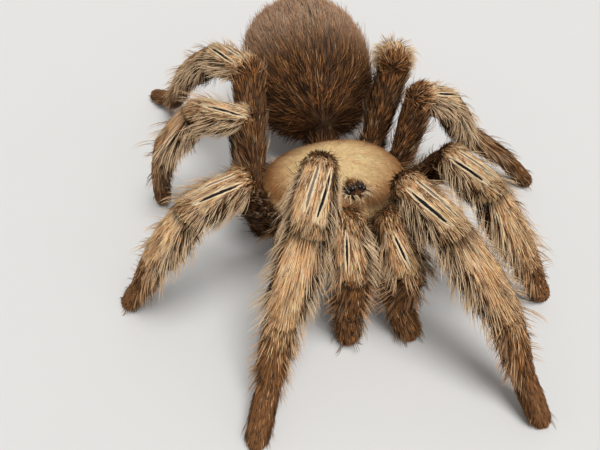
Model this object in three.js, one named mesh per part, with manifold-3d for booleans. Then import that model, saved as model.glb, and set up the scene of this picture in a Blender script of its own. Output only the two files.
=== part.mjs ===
// A female desert tarantula, life size, standing on a flat floor with its front legs raised at the knee.
// Millimetres, +Z up. The spider faces -Y, its right side is -X, and the origin is on the floor under the
// middle of its bounding box. Every solid includes the depth of the coat of hair.
import * as THREE from "three";
import { mergeVertices } from "three/addons/utils/BufferGeometryUtils.js";
import Module from "manifold-3d";

const wasm = await Module();
wasm.setup();

// ---- Driving dimensions: millimetres and degrees ----
const GAP = 0.3; // the thin cut between neighbouring parts
const LIMB_SIDES = 9;
const SMALL_SIDES = 8;
const FINE = [24, 12]; // facets around and across a broad round body
const COARSE = [16, 8];
const SMALL = [10, 6];
const TINY = [6, 4];

// The front body is drawn level with its middle at x = y = 0, then tilted nose up, turned and set in place.
const PROSOMA = { centre: [-0.4, 0.2, 10.6], tilt: 13, turn: 9 };
const CARAPACE = {
  width: 18.8,
  length: 18.8,
  height: 3.3, // from the edge to the top of the dome
  lip: 0.9, // depth of the edge below its widest line
  frontTaper: 0.14, // how much narrower the head end is
  frontRise: 0.18, // how much higher the dome is there
  roundness: 0.9, // exponent of the dome's height, 1 for an ellipsoid
  squareness: 2.3, // exponent of the outline, 2 for an ellipse
};
const FOVEA = { y: 1.9, width: 1.6, length: 0.8, depth: 0.6 };
const EYE_MOUND = { y: -7.0, width: 2.8, length: 2.1, height: 1.3, sunk: 0.2 };
// Eyes on one side of the mound: sideways and forward from its middle, and radius.
const EYES = [
  [0.5, 0.55, 0.36],
  [1.05, 0.5, 0.34],
  [1.1, -0.25, 0.32],
  [0.65, -0.4, 0.28],
];
const STERNUM = { width: 9.6, length: 12.6, low: 5.2, high: 9.4, y: -0.8 };
const CHELICERA = { reach: 4.7, drop: 6.2, tuck: 2.0, slimness: 0.78, apart: 3.9, height: 8.0 };
const FANG = { below: 0.9, reach: 3.4, drop: 2.3, inward: 0.4 };
const PEDICEL = { start: [0, 4.6, 8.2], end: [0.8, 13.6, 8.6] };
const ABDOMEN = { width: 21.4, length: 27.2, height: 18.4, centre: [1.0, 24.9, 12.1], tilt: 9, egg: 0.1 };
const SPINNERET = { length: 5.2, buried: 2.4, apart: 3.4, splay: 0.25, rise: 12, height: 10.4 };

// Radii along each segment from root to tip, as [share of the length, radius], at full girth.
const SHAPE = {
  coxa: [[0, 2.1], [1, 2.2]],
  femur: [[0, 1.95], [0.6, 2.45], [1, 2.25]],
  patella: [[0, 2.25], [0.55, 2.65], [1, 2.35]],
  tibia: [[0, 2.35], [0.4, 2.55], [1, 1.95]],
  metatarsus: [[0, 1.95], [0.4, 1.85], [1, 1.5]],
  tarsus: [[0, 1.5], [0.4, 1.6], [0.85, 1.45], [1, 1.1]],
  palp_tibia: [[0, 2.35], [0.5, 2.45], [1, 2.05]],
  palp_tarsus: [[0, 2.05], [0.4, 2.1], [0.8, 1.8], [1, 1.3]],
  chelicera: [[0, 1.95], [0.4, 2.3], [0.8, 1.9], [1, 1.4]],
  fang: [[0, 0.75], [0.5, 0.56], [1, 0.28]],
  pedicel: [[0, 1.2], [1, 1.2]],
  spinneret: [[0, 0.85], [0.6, 0.76], [1, 0.35]],
};
const LEG_KINDS = ["coxa", "femur", "patella", "tibia", "metatarsus", "tarsus"];
const PALP_KINDS = ["coxa", "femur", "patella", "palp_tibia", "palp_tarsus"];

// Each pair of limbs, drawn on the level front body's left side: where the coxa starts, where the femur
// hangs on it, how stout the limb is, and the lengths of its segments from the femur out.
const LIMBS = {
  palp: { coxa: [2.4, -6.4, 7.0], hip: [5.2, -11.1, 7.6], girth: 0.84, lengths: [9.8, 6.2, 7.4, 6.2] },
  leg_1: { coxa: [3.8, -4.6, 7.2], hip: [9.0, -7.8, 8.8], girth: 1, lengths: [12.6, 7.6, 10.6, 9, 6.8] },
  leg_2: { coxa: [4.2, -2.0, 7.4], hip: [10.9, -3.1, 9], girth: 0.93, lengths: [11.6, 6.8, 9, 8.2, 6.2] },
  leg_3: { coxa: [4.2, 1.0, 7.6], hip: [11.3, 2.2, 9.4], girth: 0.92, lengths: [11.2, 6.3, 8.2, 9, 6] },
  leg_4: { coxa: [3.6, 3.8, 7.8], hip: [9.4, 7.4, 10.2], girth: 0.94, lengths: [14.4, 7.3, 11.2, 11.6, 7] },
};

// The stance, one heading and one pitch a segment. Headings run from straight ahead towards the limb's own
// side. Pitches are above the horizon: null is worked out so that the foot meets the floor.
const STANCE = {
  right_palp: { headings: [-16, -3, -4, -4], pitches: [73, null, -91, -84] },
  left_palp: { headings: [-46, 22, 28, 44], pitches: [53, null, -98, -61] },
  right_leg_1: { headings: [-76, 22, 38, 36, 27], pitches: [76, -8, -56, null, -36] },
  left_leg_1: { headings: [-40, 18, 35, 40, 27], pitches: [53, -2, -39, null, -47] },
  right_leg_2: { headings: [46, 59, 93, 122, 115], pitches: [70, 3, -56, null, -60] },
  left_leg_2: { headings: [10, 13, 44, 101, 94], pitches: [58, 3, -48, null, -60] },
  right_leg_3: { headings: [182, 80, 110, 148, 142], pitches: [60, 24, -51, null, -80] },
  left_leg_3: { headings: [94, 109, 102, 78, 66], pitches: [83, -30, -57, null, -42] },
  right_leg_4: { headings: [188, 149, 144, 156, 146], pitches: [60, -10, -41, null, -20] },
  left_leg_4: { headings: [64, 161, 156, 152, 150], pitches: [84, -25, -33, null, -40] },
};
const FOOT_HEIGHT = 0.85; // of the tip's middle above the floor, which cuts a small flat on each foot

// ---- Materials ----
const material = (color, roughness) => new THREE.MeshStandardMaterial({ color, roughness, metalness: 0 });
const COAT = {
  carapace: material(0xb8925c, 0.75),
  body: material(0x5e4532, 0.85),
  femur: material(0x4a3424, 0.85),
  patella: material(0xb58f67, 0.8),
  tibia: material(0xae8660, 0.8),
  metatarsus: material(0x86644a, 0.8),
  tarsus: material(0x5c4434, 0.85),
  eye: material(0x14100c, 0.2),
  fang: material(0x120c0a, 0.25),
};

// ---- Solids ----
const DEGREE = Math.PI / 180;
const vec = (x, y, z) => new THREE.Vector3(x, y, z);

function solidOf(geometry) {
  const plain = geometry.index ? geometry.toNonIndexed() : geometry.clone();
  plain.deleteAttribute("normal");
  plain.deleteAttribute("uv");
  const merged = mergeVertices(plain, 1e-4);
  const triVerts = new Uint32Array(merged.index.array);
  const vertProperties = merged.attributes.position.array;
  return new wasm.Manifold(new wasm.Mesh({ numProp: 3, vertProperties, triVerts }));
}

function geometryOf(solid) {
  const { vertProperties, numProp, triVerts, numVert } = solid.getMesh();
  const places = new Float32Array(numVert * 3);
  for (let i = 0; i < numVert; i++) {
    places.set(vertProperties.subarray(i * numProp, i * numProp + 3), i * 3);
  }
  const geometry = new THREE.BufferGeometry();
  geometry.setAttribute("position", new THREE.BufferAttribute(places, 3));
  geometry.setIndex(new THREE.BufferAttribute(new Uint32Array(triVerts), 1));
  const flat = geometry.toNonIndexed();
  flat.computeVertexNormals();
  return flat;
}

// Moves every vertex of a geometry by a function of its place.
function reshape(geometry, move) {
  const places = geometry.attributes.position;
  const at = vec(0, 0, 0);
  for (let i = 0; i < places.count; i++) {
    move(at.fromBufferAttribute(places, i));
    places.setXYZ(i, at.x, at.y, at.z);
  }
  return geometry;
}

// A round bar of changing radius along +Y from 0 to length, with domed ends.
function roundBar(length, radii, sides) {
  const first = radii[0][1];
  const last = radii.at(-1)[1];
  const dome = [90, 45];
  const points = [
    ...dome.map((a) => [first * Math.cos(a * DEGREE), -first * Math.sin(a * DEGREE)]),
    ...radii.map(([share, radius]) => [radius, share * length]),
    ...dome.toReversed().map((a) => [last * Math.cos(a * DEGREE), length + last * Math.sin(a * DEGREE)]),
  ];
  points[0][0] = 0;
  points.at(-1)[0] = 0;
  return new THREE.LatheGeometry(points.map(([x, y]) => new THREE.Vector2(x, y)), sides);
}

// A round bar laid along a curve, slimmer sideways by the given share.
function bentBar(curve, radii, sides, slimness = 1) {
  const side = vec(1, 0, 0);
  const length = curve.getLength();
  return reshape(roundBar(length, radii, sides), (at) => {
    const share = THREE.MathUtils.clamp(at.y / length, 0, 1);
    const beyond = at.y - share * length;
    const along = curve.getTangent(share);
    const up = vec(0, 0, 0).crossVectors(side, along).normalize();
    const [x, z] = [at.x * slimness, at.z];
    at.copy(curve.getPoint(share)).addScaledVector(along, beyond);
    at.addScaledVector(side, x).addScaledVector(up, z);
  });
}

function barBetween(start, end, radii, sides) {
  const along = end.clone().sub(start);
  const geometry = roundBar(along.length(), radii, sides);
  const turn = new THREE.Quaternion().setFromUnitVectors(vec(0, 1, 0), along.normalize());
  geometry.applyQuaternion(turn);
  geometry.translate(start.x, start.y, start.z);
  return solidOf(geometry);
}

// Keeps what lies past the plane through a point, on the side that the normal points to, less half the gap.
function keepPast(solid, point, normal) {
  return solid.trimByPlane(normal.toArray(), point.dot(normal) + GAP / 2);
}

function sizedRadii(kind, extra = 0, girth = 1) {
  return SHAPE[kind].map(([share, radius]) => [share, radius * girth + extra]);
}

// ---- Body ----
const prosomaPlace = new THREE.Matrix4()
  .makeTranslation(...PROSOMA.centre)
  .multiply(new THREE.Matrix4().makeRotationZ(PROSOMA.turn * DEGREE))
  .multiply(new THREE.Matrix4().makeRotationX(-PROSOMA.tilt * DEGREE))
  .multiply(new THREE.Matrix4().makeTranslation(0, 0, -PROSOMA.centre[2]));
const onProsoma = (geometry) => solidOf(geometry.applyMatrix4(prosomaPlace));

// The domed shield: a superellipse in plan, narrower and higher at the head, with a pit behind the middle.
function carapace(extra = 0, facets = FINE) {
  const { width, length, height, lip, frontTaper, frontRise, roundness, squareness } = CARAPACE;
  const geometry = new THREE.SphereGeometry(1, ...facets).rotateX(Math.PI / 2);
  reshape(geometry, (at) => {
    const ring = Math.hypot(at.x, at.y) || 1e-9;
    const [sx, sy] = [at.x / ring, at.y / ring];
    const sum = Math.abs(sx / (width / 2)) ** squareness + Math.abs(sy / (length / 2)) ** squareness;
    const reach = sum ** (-1 / squareness) + extra;
    const [x, y] = [sx * reach * ring, sy * reach * ring];
    const front = Math.max(0, -y / (length / 2));
    const dome = height * Math.max(0, at.z) ** roundness * (1 - frontRise * (y / (length / 2)));
    const pit = FOVEA.depth * Math.exp(-((x / FOVEA.width) ** 2) - ((y - FOVEA.y) / FOVEA.length) ** 2);
    const z = at.z > 0 ? dome + extra * at.z - pit * at.z : (lip + extra) * at.z;
    at.set(x * (1 - frontTaper * front ** 2), y, z + PROSOMA.centre[2]);
  });
  return onProsoma(geometry);
}

// Clearance for what lies against the shield.
const roomForCarapace = () => carapace(GAP + 0.15, COARSE);

// Height of the level shield's top at a place on its middle line.
function carapaceTop(y) {
  const { length, height, frontRise, roundness } = CARAPACE;
  const share = y / (length / 2);
  return PROSOMA.centre[2] + height * (1 - share ** 2) ** (roundness / 2) * (1 - frontRise * share);
}

// A low dome with the eyes half sunk in it.
function eyeMound() {
  const { y, width, length, height, sunk } = EYE_MOUND;
  const base = carapaceTop(y) - sunk;
  const dome = new THREE.SphereGeometry(1, ...SMALL).scale(width / 2, length / 2, height);
  let mound = onProsoma(dome.translate(0, y, base));
  for (const side of [-1, 1]) {
    for (const [sideways, forward, radius] of EYES) {
      const rise = height * Math.sqrt(1 - (sideways / (width / 2)) ** 2 - (forward / (length / 2)) ** 2);
      const eye = new THREE.SphereGeometry(radius, ...TINY);
      mound = mound.add(onProsoma(eye.translate(side * sideways, y - forward, base + rise)));
    }
  }
  return mound.subtract(roomForCarapace());
}

function sternum(extra = 0) {
  const { width, length, low, high, y } = STERNUM;
  const middle = (low + high) / 2;
  const block = new THREE.SphereGeometry(1, ...COARSE);
  block.scale(width / 2 + extra, length / 2 + extra, (high - low) / 2 + extra);
  return onProsoma(block.translate(0, y, middle));
}

function cheliceraCurve(side) {
  const { reach, drop, tuck, apart, height } = CHELICERA;
  const x = (side * apart) / 2;
  const back = GAP - CARAPACE.length / 2;
  const front = back - reach;
  return new THREE.QuadraticBezierCurve3(
    vec(x, back, height), vec(x, front, height), vec(x, front + tuck, height - drop));
}

function chelicera(side, extra = 0) {
  const radii = sizedRadii("chelicera", extra);
  return onProsoma(bentBar(cheliceraCurve(side), radii, LIMB_SIDES, CHELICERA.slimness));
}

// Hangs from the chelicera's end and folds back under it.
function fang(side) {
  const { below, reach, drop, inward } = FANG;
  const root = cheliceraCurve(side).getPoint(1).add(vec(0, 0, -below));
  const bend = root.clone().add(vec(0, 0, -drop));
  const tip = root.clone().add(vec(-side * inward, reach, -drop));
  const curve = new THREE.QuadraticBezierCurve3(root, bend, tip);
  return onProsoma(bentBar(curve, sizedRadii("fang"), SMALL_SIDES)).subtract(chelicera(side, GAP));
}

function abdomen(extra = 0) {
  const { width, length, height, centre, tilt, egg } = ABDOMEN;
  const geometry = new THREE.SphereGeometry(1, ...FINE).rotateX(Math.PI / 2);
  reshape(geometry, (at) => {
    const swell = 1 + egg * at.y;
    const [x, z] = [at.x * (width / 2 + extra) * swell, at.z * (height / 2 + extra) * swell];
    at.set(x, at.y * (length / 2 + extra), z);
  });
  geometry.rotateX(tilt * DEGREE).translate(...centre);
  return solidOf(geometry);
}

// A bar from inside the front body to inside the abdomen, of which only the free middle is kept.
function pedicel() {
  const start = vec(...PEDICEL.start).applyMatrix4(prosomaPlace);
  const bar = barBetween(start, vec(...PEDICEL.end), sizedRadii("pedicel"), SMALL_SIDES);
  const free = bar.subtract(sternum(GAP)).subtract(abdomen(GAP)).subtract(roomForCarapace());
  return free.decompose().sort((a, b) => b.volume() - a.volume())[0];
}

function spinneret(side) {
  const { length, buried, apart, splay, rise, height } = SPINNERET;
  const rear = ABDOMEN.centre[1] + ABDOMEN.length / 2;
  const start = vec(ABDOMEN.centre[0] + (side * apart) / 2, rear - buried, height);
  const along = vec(side * splay, Math.cos(rise * DEGREE), Math.sin(rise * DEGREE)).normalize();
  const end = start.clone().addScaledVector(along, length);
  return barBetween(start, end, sizedRadii("spinneret"), SMALL_SIDES).subtract(abdomen(GAP));
}

// ---- Limbs ----
// The unit direction of a segment from its heading and pitch.
function heading(side, headingDegrees, pitchDegrees) {
  const [h, p] = [headingDegrees * DEGREE, pitchDegrees * DEGREE];
  return vec(side * Math.sin(h) * Math.cos(p), -Math.cos(h) * Math.cos(p), Math.sin(p));
}

// Works out the one pitch left open, so that the tip of the limb stands at the foot's height.
function closedPitches(limb, hipHeight, pitches) {
  const open = pitches.indexOf(null);
  const rises = pitches.map((pitch, i) => (i === open ? 0 : limb.lengths[i] * Math.sin(pitch * DEGREE)));
  const reached = rises.reduce((sum, rise) => sum + rise, hipHeight);
  const needed = (FOOT_HEIGHT - reached) / limb.lengths[open];
  if (Math.abs(needed) > 1) throw new Error("a limb can't reach the floor: " + needed.toFixed(2));
  return pitches.map((pitch, i) => (i === open ? Math.asin(needed) / DEGREE : pitch));
}

// The joints of a limb from the coxa's start to the foot's tip.
function jointsOf(name) {
  const side = name.startsWith("right") ? -1 : 1;
  const limb = LIMBS[name.replace(/^(right|left)_/, "")];
  const { headings, pitches } = STANCE[name];
  const joints = [limb.coxa, limb.hip].map(([x, y, z]) => vec(side * x, y, z).applyMatrix4(prosomaPlace));
  closedPitches(limb, joints[1].z, pitches).forEach((pitch, i) => {
    const along = heading(side, headings[i], pitch);
    joints.push(joints.at(-1).clone().addScaledVector(along, limb.lengths[i]));
  });
  return { limb, joints };
}

// The plane that parts two segments halves the bend between them.
function mitre(joints, i) {
  const before = joints[i].clone().sub(joints[i - 1]).normalize();
  const after = joints[i + 1].clone().sub(joints[i]).normalize();
  return before.add(after).normalize();
}

function limbParts(name, extra = 0) {
  const { limb, joints } = jointsOf(name);
  const kinds = name.endsWith("palp") ? PALP_KINDS : LEG_KINDS;
  return kinds.map((kind, i) => {
    let solid = barBetween(joints[i], joints[i + 1], sizedRadii(kind, extra, limb.girth), LIMB_SIDES);
    if (i > 0) solid = keepPast(solid, joints[i], mitre(joints, i));
    if (i < kinds.length - 1) solid = keepPast(solid, joints[i + 1], mitre(joints, i + 1).negate());
    else solid = solid.trimByPlane([0, 0, 1], 0);
    return { kind, solid };
  });
}

// ---- The spider ----
const spider = new THREE.Group();

function addPart(name, solid, finish) {
  const mesh = new THREE.Mesh(geometryOf(solid), finish);
  mesh.name = name;
  spider.add(mesh);
}

let underbody = sternum();
for (const name of Object.keys(STANCE)) {
  for (const { kind, solid } of limbParts(name)) {
    const word = kind.replace("palp_", "");
    if (kind === "coxa") underbody = underbody.add(solid);
    else addPart(name + "_" + word, solid, COAT[word]);
  }
}
const mouthparts = chelicera(-1, GAP).add(chelicera(1, GAP));
addPart("underbody", underbody.subtract(roomForCarapace()).subtract(mouthparts), COAT.body);
addPart("carapace", carapace(), COAT.carapace);
addPart("eye_mound", eyeMound(), COAT.eye);
for (const [word, side] of [["right", -1], ["left", 1]]) {
  const palpRoom = limbParts(word + "_palp", GAP).find(({ kind }) => kind === "femur").solid;
  addPart(word + "_chelicera", chelicera(side).subtract(roomForCarapace()).subtract(palpRoom), COAT.body);
  addPart(word + "_fang", fang(side), COAT.fang);
  addPart(word + "_spinneret", spinneret(side), COAT.body);
}
addPart("pedicel", pedicel(), COAT.body);
addPart("abdomen", abdomen(), COAT.body);

// The origin goes under the middle of the whole, on the floor.
const bounds = new THREE.Box3().setFromObject(spider);
const middle = bounds.getCenter(vec(0, 0, 0));
spider.position.set(-middle.x, -middle.y, 0);
export default spider;
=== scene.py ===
"""A female desert tarantula at life size, standing still, with its skin, its coat of hair and a pale studio.

Metres, +Z up. The spider faces -Y and its right side is -X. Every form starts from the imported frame.
"""
import math

import bpy
import numpy as np
from bpy.props import FloatProperty, FloatVectorProperty, IntProperty, PointerProperty
from mathutils import Matrix, Vector


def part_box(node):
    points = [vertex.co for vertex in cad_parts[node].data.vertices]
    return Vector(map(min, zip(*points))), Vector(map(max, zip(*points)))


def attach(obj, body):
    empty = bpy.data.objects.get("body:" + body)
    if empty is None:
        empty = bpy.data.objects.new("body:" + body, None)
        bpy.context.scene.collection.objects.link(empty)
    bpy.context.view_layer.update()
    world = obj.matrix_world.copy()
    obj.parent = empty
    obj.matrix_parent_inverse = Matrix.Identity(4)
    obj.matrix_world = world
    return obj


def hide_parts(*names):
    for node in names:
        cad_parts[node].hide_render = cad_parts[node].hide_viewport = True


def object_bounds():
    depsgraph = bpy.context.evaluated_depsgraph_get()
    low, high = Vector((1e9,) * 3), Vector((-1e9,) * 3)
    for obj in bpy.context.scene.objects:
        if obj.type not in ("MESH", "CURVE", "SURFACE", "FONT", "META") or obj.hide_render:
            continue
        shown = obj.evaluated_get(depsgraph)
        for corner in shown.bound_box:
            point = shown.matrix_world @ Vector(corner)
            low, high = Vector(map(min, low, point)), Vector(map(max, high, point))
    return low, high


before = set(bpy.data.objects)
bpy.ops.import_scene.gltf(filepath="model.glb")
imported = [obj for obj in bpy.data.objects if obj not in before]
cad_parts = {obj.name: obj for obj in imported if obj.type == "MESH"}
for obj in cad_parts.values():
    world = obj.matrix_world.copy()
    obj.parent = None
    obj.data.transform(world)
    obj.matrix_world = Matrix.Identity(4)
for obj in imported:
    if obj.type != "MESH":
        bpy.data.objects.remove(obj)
CAD_BOX = np.array(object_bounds())

bl_info = {
    "name": "Tarantula model",
    "version": (1, 0, 0),
    "blender": (4, 5, 0),
    "location": "3D View > Sidebar > Tarantula",
    "description": "Builds the skin, shell, coat and studio of a life-size tarantula",
    "category": "Object",
}

MM = 0.001
DEGREE = math.pi / 180
FULL_TURN = 2 * math.pi
UP = np.array([0, 0, 1.0])
SIDES = {"right": -1, "left": 1}
SEED = 20
BODY_SEED = 70

# ---- Forms of the body, in millimetres, on the level front body ----
# Its middle stands at x = y = 0, and it is then tilted nose up, turned and set on the CAD shield.
PROSOMA = {"height": 10.6, "tilt": 13.0, "turn": 9.0}
SHIELD = {
    "width": 18.8, "length": 18.8, "height": 3.3, "lip": 0.9, "front_taper": 0.14, "front_rise": 0.18,
    "roundness": 0.9, "squareness": 2.3,
}
SHIELD_HALVES = np.array([SHIELD["width"], SHIELD["length"]]) / 2
SHIELD_GROOVES = 0.26
# The shield's furrows: their bearing from straight ahead, breadth in degrees and strength.
FURROWS = ((38, 5.0, 1.0), (72, 5.5, 0.6), (104, 6.0, 0.6), (138, 7.0, 0.6))
FOVEA = {"y": 1.9, "width": 1.0, "length": 0.45, "depth": 0.5}
MOUND_Y = -7.0
MOUND_HALVES = np.array([1.4, 1.05, 1.3])
MOUND_SUNK = 0.2
# Eyes on one side of the mound: sideways and forward from its middle, and radius.
EYES = [(0.5, 0.55, 0.36), (1.05, 0.5, 0.34), (1.1, -0.25, 0.32), (0.65, -0.4, 0.28)]
EYE_HEIGHT = 0.86  # beside its width
CHELICERA = {"reach": 4.7, "drop": 6.2, "tuck": 2.0, "slimness": 0.78, "apart": 3.9, "height": 8.0}
FANG = {"below": 0.65, "reach": 3.4, "drop": 2.3, "inward": 0.4, "radius": 0.88, "tip": 0.10}
CLAW = {"back": 0.1, "apart": 0.35, "above": 0.15, "reach": 1.15, "spread": 0.2, "drop": 0.75, "radius": 0.13}
CLAW_TIP = 0.02
STERNUM_MIDDLE = np.array([0, -0.8, 7.3])
STERNUM_HALVES = np.array([4.45, 5.95, 1.75])
WAIST_START = (0, 4.6, 8.2)
WAIST_RADIUS = 1.05
# The flesh between the shield and the coxae.
CORE_MIDDLE = np.array([0, -0.2, PROSOMA["height"] - 1.5])
CORE_HALVES = np.array([SHIELD["width"] * 0.455, SHIELD["length"] * 0.46, 2.3])
EGG = 0.1  # how much wider the abdomen is behind its middle than before it
BELLY_DEPTH = 0.75  # from the CAD surface of the abdomen to its skin
BELLY_ROOT = 0.05  # from the skin of the abdomen to the roots of its hairs
FOOT_BACK = 0.25  # from the CAD end of a foot to its skin
DOMED_END = ((0.92, 0.4), (0.7, 0.72))  # rings of a bar's rounded end: how far out, and how wide

# Where each pair of coxae starts inside the front body, on its left side.
COXA_START = {
    "palp": (2.4, -6.4, 7.0),
    "leg_1": (3.8, -4.6, 7.2),
    "leg_2": (4.2, -2.0, 7.4),
    "leg_3": (4.2, 1.0, 7.6),
    "leg_4": (3.6, 3.8, 7.8),
}
GIRTH = {"palp": 0.84, "leg_1": 1.0, "leg_2": 0.93, "leg_3": 0.92, "leg_4": 0.94}

# Outer radii of the segments, coat included, as (share of the length, radius) at full girth.
SHAPE = {
    "coxa": [(0, 2.1), (1, 2.2)],
    "femur": [(0, 1.95), (0.6, 2.45), (1, 2.25)],
    "patella": [(0, 2.25), (0.55, 2.65), (1, 2.35)],
    "palp_patella": [(0, 2.25), (0.55, 2.65), (1, 2.35)],
    "tibia": [(0, 2.35), (0.4, 2.55), (1, 1.95)],
    "metatarsus": [(0, 1.95), (0.4, 1.85), (1, 1.5)],
    "tarsus": [(0, 1.5), (0.4, 1.6), (0.85, 1.45), (1, 1.1)],
    "palp_tibia": [(0, 2.35), (0.5, 2.45), (1, 2.05)],
    "palp_tarsus": [(0, 2.05), (0.4, 2.1), (0.8, 1.8), (1, 1.3)],
    "chelicera": [(0, 1.95), (0.4, 2.3), (0.8, 1.9), (1, 1.4)],
    "spinneret": [(0, 0.85), (0.6, 0.76), (1, 0.35)],
}
LEG_KINDS = ["femur", "patella", "tibia", "metatarsus", "tarsus"]
PALP_KINDS = ["femur", "palp_patella", "palp_tibia", "palp_tarsus"]
LIGHT_KINDS = ("patella", "tibia", "palp_patella")  # pale above, dark beneath the long hairs of their flanks, partly of their own and partly as painted shade
FOOT_KINDS = ("tarsus", "palp_tarsus")
ROLL = {"right_palp": 24, "left_palp": 36}  # how far a limb is rolled over about its own length
LIMB_NAMES = [side + "_" + limb for limb in COXA_START for side in SIDES]

# ---- The coat, by kind of segment ----
# Lying hairs: length and lift from the skin. Long hairs: their share, length, lift and how far they turn
# pale. Then how dense the coat is, and how pale the skin under it.
COLUMNS = ("length", "lift", "long_share", "long", "long_lift", "paleness", "density", "tone")
COAT_ROWS = {
    "coxa": (1.7, 24, 0.16, 3.0, 40, 0.35, 0.8, 0.16),
    "femur": (1.6, 18, 0.06, 3.0, 36, 0.25, 0.8, 0.10),
    "patella": (2.0, 13, 0.12, 3.2, 32, 1.0, 1.25, 0.62),
    "tibia": (2.3, 14, 0.11, 3.8, 34, 1.0, 1.15, 0.52),
    "metatarsus": (2.0, 17, 0.07, 3.2, 38, 0.4, 1.05, 0.34),
    "tarsus": (1.1, 16, 0.02, 1.8, 40, 0.25, 2.0, 0.20),
    "palp_patella": (1.9, 15, 0.16, 3.2, 34, 0.9, 1.25, 0.45),
    "palp_tibia": (2.0, 17, 0.11, 3.6, 34, 0.3, 1.1, 0.20),
    "palp_tarsus": (1.7, 20, 0.07, 2.6, 38, 0.4, 1.1, 0.16),
}
COAT_SHAPE = {kind: dict(zip(COLUMNS, row)) for kind, row in COAT_ROWS.items()}
# Shares of tan, cream, rust, brown and dark hairs.
COAT_MIX = {
    "coxa": (0.04, 0.03, 0.10, 0.42, 0.42),
    "femur": (0.01, 0.01, 0.08, 0.46, 0.44),
    "patella": (0.61, 0.30, 0.05, 0.04, 0.0),
    "tibia": (0.64, 0.20, 0.07, 0.09, 0.0),
    "metatarsus": (0.02, 0.01, 0.08, 0.68, 0.21),
    "tarsus": (0.01, 0.0, 0.03, 0.80, 0.16),
    "palp_patella": (0.50, 0.16, 0.10, 0.20, 0.04),
    "palp_tibia": (0.02, 0.01, 0.12, 0.55, 0.30),
    "palp_tarsus": (0.02, 0.01, 0.12, 0.62, 0.23),
    "abdomen": (0.07, 0.01, 0.20, 0.54, 0.18),
    "chelicera": (0.10, 0.20, 0.04, 0.36, 0.30),
    "spinneret": (0.16, 0.06, 0.28, 0.40, 0.10),
}
JOINT_MIX = {
    "patella": (0.50, 0.12, 0.16, 0.16, 0.06),
    "tibia": (0.62, 0.12, 0.08, 0.12, 0.06),
    "palp_patella": (0.34, 0.10, 0.18, 0.26, 0.12),
    "palp_tibia": (0.16, 0.04, 0.22, 0.36, 0.22),
    "metatarsus": (0.40, 0.06, 0.16, 0.26, 0.12),
}
REAR_KNEE_MIX = (0.50, 0.34, 0.06, 0.08, 0.02)
DARK_MIX = (0.02, 0.02, 0.14, 0.48, 0.34)
MOUND_MIX = (0.08, 0.04, 0.18, 0.34, 0.36)
HAIR_COLOURS = ("tan", "cream", "rust", "brown", "dark")
BROWN, DARK_BROWN = (2, 3, 3, 4, 4), (2, 3, 4, 4, 4)  # colours by number, picked with even chances
REAR_TINT = (0.76, 0.745, 0.74)  # on the far parts of the third and fourth legs
PALE_REAR_AND_SHEEN = np.array([0.78, 0.53, 0.36])  # the paler, greyer brown that the abdomen turns towards its rear: partly its own paler hairs, partly painted sheen of the light from above and behind
# The bare stripes along each patella. Each runs from one angle at the knee to another at the far end, turned
# towards the rear side of the limb. Then come half its width, from where to where along the patella
# it lies, and whether it is the grey one: black bare skin drawn grey as a painted sheen.
STRIPES = {
    "patella": [
        {"near": -0.05, "far": 0.22, "half": 0.078, "first": 0.0, "last": 0.80, "is_pale": True},
        {"near": -0.78, "far": -0.40, "half": 0.088, "first": 0.09, "last": 0.90, "is_pale": False},
    ],
    "palp_patella": [
        {"near": -0.05, "far": 0.20, "half": 0.085, "first": 0.08, "last": 0.68, "is_pale": False},
    ],
}
TUFT = 4  # hairs to a tuft
TUFTS = {
    "knee": 260, "joint": 150, "hip": 130, "foot": 110, "shield_ruff": 420, "belly_ruff": 300, "waist": 420,
    "sternum": 450, "core": 900, "spinneret": 90,
}
BRISTLES = 64  # on each segment that has them
MOUND_FUZZ = 1500
MOUND_BRISTLES = 26
EVEN_STEPS = (0.7548776662, 0.5698402910)  # from each tuft of a segment to the next, along it and round it
UNDERSIDE_FROM = 2.1  # the angle from a limb's upper side where its thinner coat starts
PATCH = 0.003  # width of a tuft's place on the bake map
SHEEN = 0.8  # how far a hair's shading follows its own round form, beside the skin's
HAIR_WIDTHS = {1: (1.0,), 2: (0.75, 1.0), 3: (0.7, 1.0, 0.62)}  # a hair's width at its rings, by their number
FLOOR_RADIUS = 8.0  # in metres
FACE_COAT = 0.8  # how deep the coat of the chelicerae is, beside that of the limbs
EDGE_HAIRS = 150  # along each edge of a bare stripe
EDGE_DEPTH = 0.87  # where those hairs have their roots, as a share of the radius
ROOT_DEPTH = 0.02  # how far under the skin the other hairs of a limb have theirs, as a share of the radius
CLEAR_FROM = 0.97  # a root deeper than this share of another segment's skin grows no hair
SPINNERET_SKIN = 0.82  # the radius of a spinneret's skin, as a share of its shape's
# How near the floor the skin, the claws and the hairs may come, and how far the hairs may pass the CAD box.
SKIN_FLOOR, CLAW_FLOOR, HAIR_FLOOR, ROOM = 0.12 * MM, 0.10 * MM, 0.05 * MM, 0.013


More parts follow.
